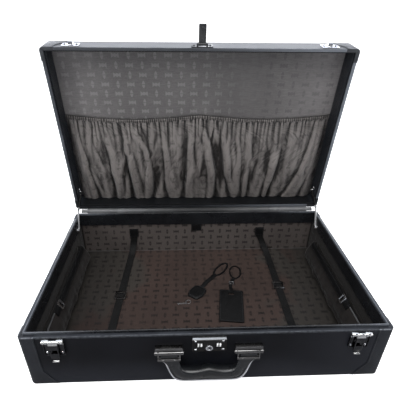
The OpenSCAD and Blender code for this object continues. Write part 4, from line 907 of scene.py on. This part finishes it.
def pocket_depth(x, v):
    """How far the gathered cloth stands off the lid's lining at x, a share v of the way to the mouth."""
    rise = np.sin(np.pi * v)
    fade = np.sin(np.pi * np.minimum(1, 0.12 + 0.88 * v))
    off = 11.0 * (1 - v) + 4.0 * v + 9.0 * rise + 5.0 * field(x / 62.0, v * 2.2, 12.0) * rise
    tuck = np.clip(1 - v / 0.3, 0, 1)
    for k, (mouth, middle, foot, deep, wide) in enumerate(MAIN_FOLDS):
        line = (1 - v) * (1 - 2 * v) * foot + 4 * v * (1 - v) * middle + v * (2 * v - 1) * mouth
        sway = 3.0 * field(v * 4.0, x * 0 + k * 1.7, 20.0)
        strong = 0.25 + 1.0 * np.clip(0.5 + 1.4 * field(v * 2.6, x * 0 + k * 2.3, 30.0), 0, 1)
        away = (x - line - sway) * (1 if k % 2 else -1)
        u = away / (wide * (0.7 + 0.5 * strong))
        crease = np.exp(-np.abs(u / 0.3) ** 1.5)
        off = off - deep * fade * strong * (0.7 * crease + 0.55 * hump(u - 0.7, 0.8)
                                            - 0.85 * hump(u + 0.8, 0.45))
        off = off - 6.0 * tuck * hump(away - 3.0 * tuck, 2.5 + 6.5 * tuck)
    rng = random.Random(11)
    for _ in range(SMALL_FOLDS):
        place, drift = rng.uniform(-335, 335), rng.uniform(-75, 75)
        deep, wide = rng.uniform(0.8, 2.5), rng.uniform(3.0, 7.0)
        centre, reach = rng.uniform(0.12, 0.95), rng.uniform(0.09, 0.25)
        u = (x - place - drift * (v - centre)) / wide
        off = off - deep * hump(v - centre, reach) * (hump(u) - 0.5 * np.exp(-((u + 1.5) ** 2) / 0.6))
    hang = (1 - v) * POCKET_H / (24.0 + 13.0 * field(x / 17.0, v * 0, 5.0))
    fine = waves(x / 7.4 + 0.9 * field(x / 25.0, v * 0.9))
    longer = waves(x / 12.7 + 0.9 * field(x / 41.0, v * 1.3, 3.0))
    foot = waves(x / 24.0 + 1.1 * field(x / 33.0, v * 1.1, 7.0))
    off = off + 1.7 * fine * np.exp(-hang) * (1 + 0.9 * field(x / 12.0, v * 0, 9.0))
    off = off + 2.2 * longer * np.exp(-hang / 1.7) + 1.2 * foot * np.exp(-v * POCKET_H / 26.0)
    off = off + 2.8 * field(x / 34.0, v * 4.0, 1.0) * fade + 1.7 * field(x / 12.0, v * 3.4, 2.0) * fade
    return np.maximum(0.75, np.minimum(1.0, (POCKET_W - np.abs(x)) / POCKET_END + 0.16) * off)


def above(off, reach):
    """How far cloth stands above its surroundings, within reach columns of the grid to each side."""
    padded = np.pad(off, ((0, 0), (reach, reach)), mode="edge")
    share = np.ones(2 * reach + 1) / (2 * reach + 1)
    return off - np.array([np.convolve(row, share, mode="valid") for row in padded])


def ruched_pocket():
    cols, rows = 372, 108
    x, v = np.meshgrid(np.linspace(-POCKET_W, POCKET_W, cols), np.linspace(0, 1, rows))
    off = pocket_depth(x, v)
    y = LID_IN_Y + (mouth_y(x) - LID_IN_Y) * v
    slope = np.gradient(off, axis=1) / np.gradient(x, axis=1)
    x = x - np.clip(slope, -1, 1) * 1.6 * np.sin(np.pi * v) * np.minimum(1, (POCKET_W - np.abs(x)) / 12)
    grid = np.stack([x, y, LINING_Z - off], -1)
    cloth = cloth_shell("ruched_pocket_cloth", grid, POCKET_CLOTH, True)
    out = np.clip(0.55 + above(off, 8) / 6.5 + above(off, 26) / 13.0, 0, 1).ravel()
    store_folds(cloth, np.concatenate([out, out]))
    finish(cloth, "pocket_cloth", "lid", "pocket_cloth", "lid_pocket")
    pocket_band()


def pocket_band():
    """Casing of the elastic: a flattened ruffled tube along the mouth, and its dark corded edge."""
    sides = 12
    x = np.linspace(-POCKET_W + 0.4, POCKET_W - 0.4, 640)
    edge = np.minimum(1.0, (POCKET_W - np.abs(x)) / POCKET_END + 0.3)
    ripple = waves(x / 5.4 + 0.6 * field(x / 19.0, x * 0))
    a = np.linspace(0, 2 * np.pi, sides, endpoint=False)[None]
    half_t = ((2.0 + 0.75 * ripple) * edge)[:, None]
    tall = (5.6 + 0.35 * np.roll(ripple, 2))[:, None]
    rings = np.stack([np.repeat(x[:, None], sides, 1), (mouth_y(x) - 2.2)[:, None] - np.cos(a) * tall,
                      (LINING_Z - 4.6 * edge)[:, None] + np.sin(a) * half_t], -1)
    casing = loft("ruched_pocket_casing", rings, on_lid=True)
    store_folds(casing, np.repeat(0.42 + 0.3 * ripple, sides))
    finish(casing, "pocket_cloth", "lid", "pocket_cloth", "pocket_elastic")
    sway = 0.35 * ripple
    path = np.stack([x, mouth_y(x) - 7.9 + 0.2 * sway, LINING_Z - 4.4 * edge + sway], -1)[::2]
    cord = loft("ruched_pocket_corded_edge", tube_rings(path, 0.85, 6), on_lid=True)
    finish(cord, "dark_cloth", "lid", "pocket_cloth")
    seam = np.stack([x, mouth_y(x) + 3.6, LINING_Z - 4.6 * edge - 1.7 - 0.5 * ripple], -1)[::2]
    sewn = stitches("ruched_pocket_seam", [seam.tolist()], "lid", 2.6, 1.9, 0.28, True, "pocket_cloth")
    return [casing, cord, sewn]


# Inside the base

STRAP_W = 19.0
STRAP_T = 1.6
ANCHOR_TOP = 85.0
ANCHOR_H = 26.0
STRAP_X = 207.0
STRAP_DRIFT = (0.05, 0.0)
STRAP_PULL = (8.0, 24.0)
STRAP_BEND = 34.0


def strap_line():
    """Middle line of a packing strap in Y and Z, from the back wall over the floor to the front wall."""
    y, foot = IN_Y - STRAP_T / 2, PAD_TOP + STRAP_T / 2
    half = [(y, ANCHOR_TOP - 4), (y, ANCHOR_TOP - ANCHOR_H)]
    for k in range(15):
        a = math.radians(-90.0 * k / 14)
        half.append((y - STRAP_BEND + STRAP_BEND * math.cos(a), foot + STRAP_BEND + STRAP_BEND * math.sin(a)))
    half += [((y - STRAP_BEND) * (1 - k / 11.0), foot) for k in range(1, 12)]
    return np.array(half + [(-a, b) for a, b in half[-2::-1]])


def strap_middle(i, y, z):
    foot = PAD_TOP + STRAP_T / 2
    lift = min(1.0, max(0.0, (z - foot) / (ANCHOR_TOP - ANCHOR_H - foot)))
    pull = STRAP_PULL[i] * (1 if y > 0 else 0.2) * lift
    return (2 * i - 1) * (STRAP_X - STRAP_DRIFT[i] * y - pull)


def packing_strap(i, name):
    line = strap_line()
    dense = [line[0]]
    for a, b in zip(line[:-1], line[1:]):
        steps = max(1, int(np.linalg.norm(b - a) / 4))
        dense += [a + (b - a) * k / steps for k in range(1, steps + 1)]
    line = np.array(dense)
    w, h = STRAP_W / 2, STRAP_T / 2
    section = ((-w, -0.25), (-w, 0.25), (-w + 0.35, h), (-w / 3, h), (w / 3, h), (w - 0.35, h), (w, 0.25),
               (w, -0.25), (w - 0.35, -h), (-w + 0.35, -h))
    rings = []
    for (y, z), (ty, tz) in zip(line, directions(line)):
        x = strap_middle(i, y, z) + 0.5 * noise.noise(Vector((y / 40.0, z / 40.0, 4.0 + i)))
        lift = 0.35 * max(0.0, noise.noise(Vector((y / 23.0, 3.0, i))))
        rings.append([(x + u, y + s * tz, z + s * -ty + lift) for u, s in section])
    strap = loft("packing_strap_%s_webbing" % name, rings, sharp=50)
    finish(strap, "webbing", "base", "webbing", "packing_strap_" + name)


SIDE_FOOT = np.array([338.3, 10.0])
SIDE_BELLY = np.array([289.2, 10.0])
SIDE_MOUTH = np.array([328.3, 70.0])
SIDE_LEAN = math.atan2(*(SIDE_MOUTH - SIDE_BELLY))
SIDE_FRONT = -198.3
SIDE_BACK = 151.7
SIDE_CLOTH = 1.6
BUCKLE_Y = -72.3


def side_panel(name, x, y, z, s, thick, forward=True):
    """Cloth panel of a side pocket in mirrored pairs, facing the case's middle if forward says so."""
    grid = np.stack([x * s, y, z], -1)
    if (s > 0) == forward:
        grid = grid[:, ::-1]
    return cloth_shell(name, grid, thick), grid


def side_pocket(s, name):
    """Slack pocket along an end wall, with a rolled edge at its mouth and folded ends."""
    name = "side_pocket_" + name
    cols, rows = 150, 34
    t = np.linspace(0, 1, rows)[:, None]
    px, pz = ((1 - t) ** 2 * SIDE_FOOT + 2 * t * (1 - t) * SIDE_BELLY + t * t * SIDE_MOUTH).T[:, :, None]
    tx, tz = directions(np.concatenate([px, pz], 1)).T[:, :, None]
    y = np.linspace(SIDE_FRONT, SIDE_BACK, cols)
    yy, v = np.meshgrid(y, t[:, 0])
    ends = np.minimum(1, np.minimum(yy - SIDE_FRONT, SIDE_BACK - yy) / 26)
    slack = 3.0 * field(yy / 40.0 + v * 1.5, v * 2.6, 5.0 + s) + 2.0 * field(yy / 15.0, v * 3.2, 9.0 + s)
    long = 1.5 * waves(3.1 * v + 0.7 * field(yy / 90.0, v * 0.8, 3.0 + s))
    out = (slack + long - 1.2) * np.sin(np.pi * np.clip(v * 1.12, 0, 1)) * ends
    height = np.maximum(pz + tx * out, PAD_TOP + 1.0)
    sheet, grid = side_panel(name + "_sheet", px - tz * out, yy, height, s, SIDE_CLOTH)
    finish(sheet, "side_pocket_cloth", "base", "webbing", "side_pockets")
    mouth = np.stack([np.full(cols, SIDE_MOUTH[0] * s), y, np.full(cols, SIDE_MOUTH[1])], -1)
    bead = loft(name + "_bound_edge", tube_rings(mouth, 1.7))
    pieces = [finish(bead, "bead", "base", "webbing")]
    depth = np.linspace(0, 1, 9)[None, :]
    ex, ez = px * (1 - depth) + 340.2 * depth, np.repeat(pz, 9, 1)
    bulge = 0.9 + 5.0 * np.sin(np.pi * depth) * np.sin(np.pi * np.clip((ez - 9) / 70, 0, 1))
    for k, (end, inward) in enumerate(((SIDE_FRONT, 1), (SIDE_BACK, -1))):
        fold = side_panel("%s_end_%d" % (name, k + 1), ex, end + inward * bulge, ez, s, 1.4, inward < 0)[0]
        pieces.append(finish(fold, "side_pocket_cloth", "base", "webbing"))
    by, bz = np.meshgrid(np.linspace(SIDE_FRONT + 1, SIDE_BACK - 1, 40), np.linspace(PAD_TOP + 0.4, 67.6, 12))
    back = side_panel(name + "_back", np.full_like(by, 339.6), by, bz, s, 1.1)[0]
    pieces.append(finish(back, "side_pocket_cloth", "base", "webbing"))


def side_strap(s, name):
    """Leather strap on a side pocket's mouth in two lengths, joined by the buckle."""
    c, d = math.cos(SIDE_LEAN), math.sin(SIDE_LEAN)

    def at(u, v, y):
        """Point at u off the pocket's face and v up it."""
        return s * (SIDE_MOUTH[0] + u * c + v * d), y, SIDE_MOUTH[1] - u * d + v * c

    section = ((-3.5, -10.5), (-3.5, 3.5), (-3.1, 4.0), (-2.1, 4.0), (-1.9, 3.6), (-1.9, -10.6),
               (-2.1, -11.0), (-3.1, -11.0))
    for k, (a, b) in enumerate(((BUCKLE_Y + 4.5, SIDE_BACK - 6), (BUCKLE_Y - 28, BUCKLE_Y - 4.5))):
        rings = []
        for y in np.linspace(a, b, max(8, int((b - a) / 5))):
            sway = 0.25 * noise.noise(Vector((y / 25.0, 2.0, s)))
            rings.append([at(u, v + sway, y) for u, v in section])
        part = loft("side_strap_%s_%d" % (name, k + 1), rings, sharp=50)
        finish(part, "calf", "base", "webbing", "side_straps")
    rows = [[at(-3.6, v, y) for y in np.linspace(BUCKLE_Y + 12, SIDE_BACK - 9, 60)] for v in (-8.8, 1.8)]
    stitches("side_strap_%s_stitches" % name, rows, "base", slot="webbing")


def floor_card():
    """Cloth-covered card on the floor, very slightly uneven."""
    cols, rows = 150, 100
    x, y = np.meshgrid(np.linspace(-IN_X + 0.1, IN_X - 0.1, cols), np.linspace(-IN_Y + 0.1, IN_Y - 0.1, rows))
    inset = np.minimum(IN_X - np.abs(x), IN_Y - np.abs(y))
    top = PAD_TOP - 0.25 + 0.2 * field(x / 80.0, y / 70.0) * np.minimum(1, inset / 30)
    top = top - 0.5 * np.exp(-inset / 1.5)
    points = np.stack([np.stack([x, y, z], -1) for z in (top, np.full_like(top, 6.5))]).reshape(-1, 3)
    card = piece_from("floor_card", points.tolist(), shell_faces(rows, cols))
    finish(card, "floor_lining", "base", "lining", "floor_lining")


# Handle

GRIP_DROP = 72.0
# Stations along half of the grip: inner edge x and height, outer edge x and height, thickness,
# distance of its middle in front of the covering, and how flat the section is
GRIP_STATIONS = (
    (0, 37, 0, 0, 21, 13.5, 0), (10, 35, 12, 0, 21, 13.5, 0), (20, 32.5, 26, 0, 21, 13.5, 0),
    (30, 31, 40, 0, 21, 13.5, 0), (39, 31, 52, 0.6, 20.2, 13.5, 0), (46.5, 33, 61, 3.5, 18, 13.5, 0),
    (51.5, 37.5, 68, 10, 14.7, 13.2, 0), (54, 43, 73.5, 20, 10.5, 11.6, 0.05),
    (55.7, 48, 78, 31, 7, 10, 0.3), (57.5, 52, 82.5, 44, 5.2, 9.3, 0.7), (59.2, 56, 91.2, 56, 4.4, 9, 1),
    (59.2, 67.5, 91.2, 67.5, 4.4, 9, 1),
)
# One side of the grip's section in the middle and at its flat ends: share of the width, of the thickness
GRIP_SECTION = ((0, 0), (0.02, 0.24), (0.1, 0.42), (0.25, 0.5), (0.45, 0.48), (0.62, 0.36), (0.76, 0.16),
                (0.97, 0.12), (1, 0))
FLAT_SECTION = ((0, 0), (0.01, 0.4), (0.03, 0.5), (0.2, 0.5), (0.4, 0.5), (0.6, 0.5), (0.8, 0.5),
                (0.98, 0.46), (1, 0))


def whole_section(half, per=3):
    """Smooth closed section from its one side."""
    p = np.array(half + tuple((u, -v) for u, v in half[-2:0:-1]), float)
    return spline(np.concatenate([p[-1:], p, p[:2]]), per)[per:-per - 1]


def grip_point(station, side, share, out):
    """Point of the grip at a share of its width, out of its middle plane by out millimetres."""
    x0, z0, x1, z1, _, front, _ = station
    return (side * (x0 + (x1 - x0) * share), -HALF_D - front - out,
            HANDLE_Z - GRIP_DROP + z0 + (z1 - z0) * share)


def handle_grip():
    half = spline(GRIP_STATIONS, 7)
    full = [(st, -1) for st in half[:0:-1]] + [(st, 1) for st in half]
    round_section, flat_section = whole_section(GRIP_SECTION), whole_section(FLAT_SECTION)
    rings = []
    for st, side in full:
        flat = min(1.0, max(0.0, st[6]))
        section = round_section * (1 - flat) + flat_section * flat
        rings.append([grip_point(st, side, u, v * st[4]) for u, v in section])
    finish(loft("handle_grip_leather", rings, sharp=70), "grip", "handle", "soft_leather", "handle_grip")
    sewn = [(st, side) for st, side in full if st[6] < 0.95]
    welt = np.array([grip_point(st, side, 0.985, 2.4 * (1 - st[6])) for st, side in sewn])
    finish(loft("handle_grip_welt", tube_rings(welt, 1.3)), "edge_paint", "handle", "soft_leather")
    line = [grip_point(st, side, 0.87, (0.16 * (1 - st[6]) + 0.5 * st[6]) * st[4] + 0.1)
            for st, side in sewn]
    stitches("handle_grip_stitches", [line], "handle", 3.4, 2.5, 0.38)


# Small leather things and the digits


def number_wheels():
    """Digits on the ten flats of each number wheel."""
    for k, x in enumerate(DIAL_X):
        name = "wheel_digits_%d" % (k + 1)
        b = bmesh.new()
        for digit in range(10):
            data = bpy.data.curves.new("digit", "FONT")
            data.body = str(digit)
            data.size = DIGIT_H * MM
            data.align_x = data.align_y = "CENTER"
            data.resolution_u = 2
            data.extrude = 0.02 * MM
            text = link("digit", data)
            mesh = plain_mesh(text)
            bpy.data.objects.remove(text)
            mesh.transform(Matrix.Translation((x * MM, -(HALF_D + DIAL_OUT) * MM, DIAL_Z * MM))
                           @ Matrix.Rotation(math.radians(36 * digit + 90 + 36 * k), 4, "X")
                           @ Matrix.Translation((0, 0, (DIAL_R + 0.01) * MM))
                           @ Matrix.Scale(0.72, 4, (1, 0, 0)))
            b.from_mesh(mesh)
            bpy.data.meshes.remove(mesh)
        mesh = bpy.data.meshes.new(name)
        b.to_mesh(mesh)
        b.free()
        finish(link(name, mesh), "black_paint", "wheel_%d" % (k + 1), "black_metal")


# Middle and turn in degrees of the tag and of the key case on the floor
TAG_PLACE = (73, -27), -6.5
KEY_PLACE = (-10, 22), 54
# One side of the bell-shaped key case
BELL = ((-24, 9), (-22.6, 12.5), (-20, 15), (-14, 17.6), (-6, 20), (4, 19.6), (14, 18), (19.5, 14.5), (23, 9))


def placed(points, at, turn):
    """Points in a flat piece's own plane, taken to where it lies on the floor."""
    c, s = math.cos(math.radians(turn)), math.sin(math.radians(turn))
    return [(at[0] + c * x - s * y, at[1] + s * x + c * y, z) for x, y, z in points]


def outline_stitches(name, outline, height, at, turn, *sizes):
    line = placed([(x, y, height) for x, y in outline + outline[:1]], at, turn)
    stitches(name, [line], "base", *sizes)


def rounded_rectangle(w, h, r, per=5):
    line = []
    for quarter, (sx, sy) in enumerate(((1, 1), (-1, 1), (-1, -1), (1, -1))):
        for k in range(per + 1):
            a = math.radians(90.0 * quarter + 90.0 * k / per)
            line.append((sx * (w / 2 - r) + r * math.cos(a), sy * (h / 2 - r) + r * math.sin(a)))
    return line


def domed_form(name, outline, edge, crown, rise, at, turn):
    """Two leathers stitched round an outline and swelling between: edge thick at the rim, crown in the
    middle."""
    rings, low = 9, PAD_TOP
    out = np.asarray(outline, float)
    mid = out.mean(axis=0)
    points = []
    for k in range(rings):
        share = 1 - k / rings
        swell = edge + (crown - edge) * min(1.0, (1 - share) * rings / rise) ** 0.6
        points += [(*(mid + (p - mid) * share), low + swell) for p in out]
    points += [(*mid, low + crown)] + [(*p, low) for p in out] + [(*mid, low)]
    m = len(out)
    top, base = rings * m, rings * m + 1
    pairs = [(j, (j + 1) % m) for j in range(m)]
    faces = [(k * m + i, k * m + j, (k + 1) * m + j, (k + 1) * m + i) for k in range(rings - 1)
             for i, j in pairs]
    faces += [(top - m + i, top - m + j, top) for i, j in pairs]
    faces += [(base + i, base + j, j, i) for i, j in pairs]
    faces += [(base + j, base + i, base + m) for i, j in pairs]
    return turn_outward(piece_from(name, placed(points, at, turn), faces), 50)


def tag_and_keys():
    soft = "calf", "base", "soft_leather"
    softened("luggage_tag", "luggage_tag_leather", *soft, 0.7, 3)
    softened("tag_loop", "luggage_tag_lace", *soft, 0.5)
    outline_stitches("luggage_tag_stitches", rounded_rectangle(54, 101, 2.5), PAD_TOP + 3.05, *TAG_PLACE,
                     3.0, 2.2, 0.3)
    bell = list(BELL) + [(x, -y) for x, y in BELL[::-1]]
    finish(domed_form("key_case_leather", bell, 2.6, 6.0, 3.2, *KEY_PLACE), *soft, "key_case")
    outline_stitches("key_case_stitches", [(x * 0.88, y * 0.88) for x, y in bell], PAD_TOP + 4.6, *KEY_PLACE,
                     2.6, 1.9, 0.3)
    softened("key_strap", "key_case_strap", *soft, 0.7)
    softened("keys", "case_key_and_ring", "chrome", "base", "chrome", 0.35)


CORNER_W = 29.0
CORNER_H = 40.0
CORNER_FLARE = 26.0
CORNER_SKIN = 1.05
SEAM_INSET = 2.6
TAB_HALF_W = 10.8
# Left, right, low and high edge of the seam on the back wall's patch
PATCH_SEAM = (-18, 8, 78, 97)


def corner_rows(top, middle, foot):
    """Lines of stitches at three heights on the two outer faces of each corner leather."""

    def line(half):
        near = half - CORNER_W + SEAM_INSET
        return (near, top), (near, middle), (near - CORNER_FLARE + 1.5, foot)

    rows = []
    for sx in (-1, 1):
        for sy in (-1, 1):
            rows.append([(sx * x, sy * (HALF_D + CORNER_SKIN), z) for x, z in line(HALF_W)])
            rows.append([(sx * (HALF_W + CORNER_SKIN), sy * y, z) for y, z in line(HALF_D)])
    return rows


def sewn_edges():
    """Stitches round the corner leathers, the strap tabs and the patch."""
    stitches("base_corner_stitches", corner_rows(BASE_H - 4, CORNER_H, SEAM_INSET), "base", 3.4, 2.4, 0.36,
             slot="binding")
    stitches("lid_corner_stitches", corner_rows(LID_LOW + 4, LID_TOP - CORNER_H + 1, LID_TOP - 1.6), "lid",
             3.4, 2.4, 0.36, True, "binding")
    low, high = ANCHOR_TOP - ANCHOR_H + 2, ANCHOR_TOP - 1.8
    lines = []
    for i in (0, 1):
        for s in (-1, 1):
            x, y = strap_middle(i, s * IN_Y, ANCHOR_TOP), s * (IN_Y - 3.1)
            left, right = x - TAB_HALF_W, x + TAB_HALF_W
            lines.append([(left, y, low), (left, y, high), (right, y, high), (right, y, low), (left, y, low)])
    left, right, low, high = PATCH_SEAM
    y = IN_Y - 1.3
    lines.append([(left, y, low), (right, y, low), (right, y, high), (left, y, high), (left, y, low)])
    stitches("strap_tab_stitches", lines, "base", 2.8, 2.0, 0.3, slot="binding")


def hinge_strip():
    """Leather strip over the gap at the hinges, which bends as the lid closes."""
    mesh = nodes["hinge_gusset"].data.copy()
    with edited(mesh) as b:
        bmesh.ops.remove_doubles(b, verts=b.verts, dist=WELD)
    smooth(mesh, 40)
    strip = link("hinge_strip_leather", mesh)
    dress(strip, "roll")
    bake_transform(strip)
    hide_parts("hinge_gusset")


place_camera()
build_materials()
light_studio()
pale_floor()
dress_cad_nodes()
round_hardware()
GROUPS["stitches"] = stitch_tree()
ruched_pocket()
for number, label in enumerate(("left", "right")):
    packing_strap(number, label)
for sign, label in ((-1, "left"), (1, "right")):
    side_pocket(sign, label)
    side_strap(sign, label)
floor_card()
handle_grip()
number_wheels()
tag_and_keys()
sewn_edges()
hinge_strip()
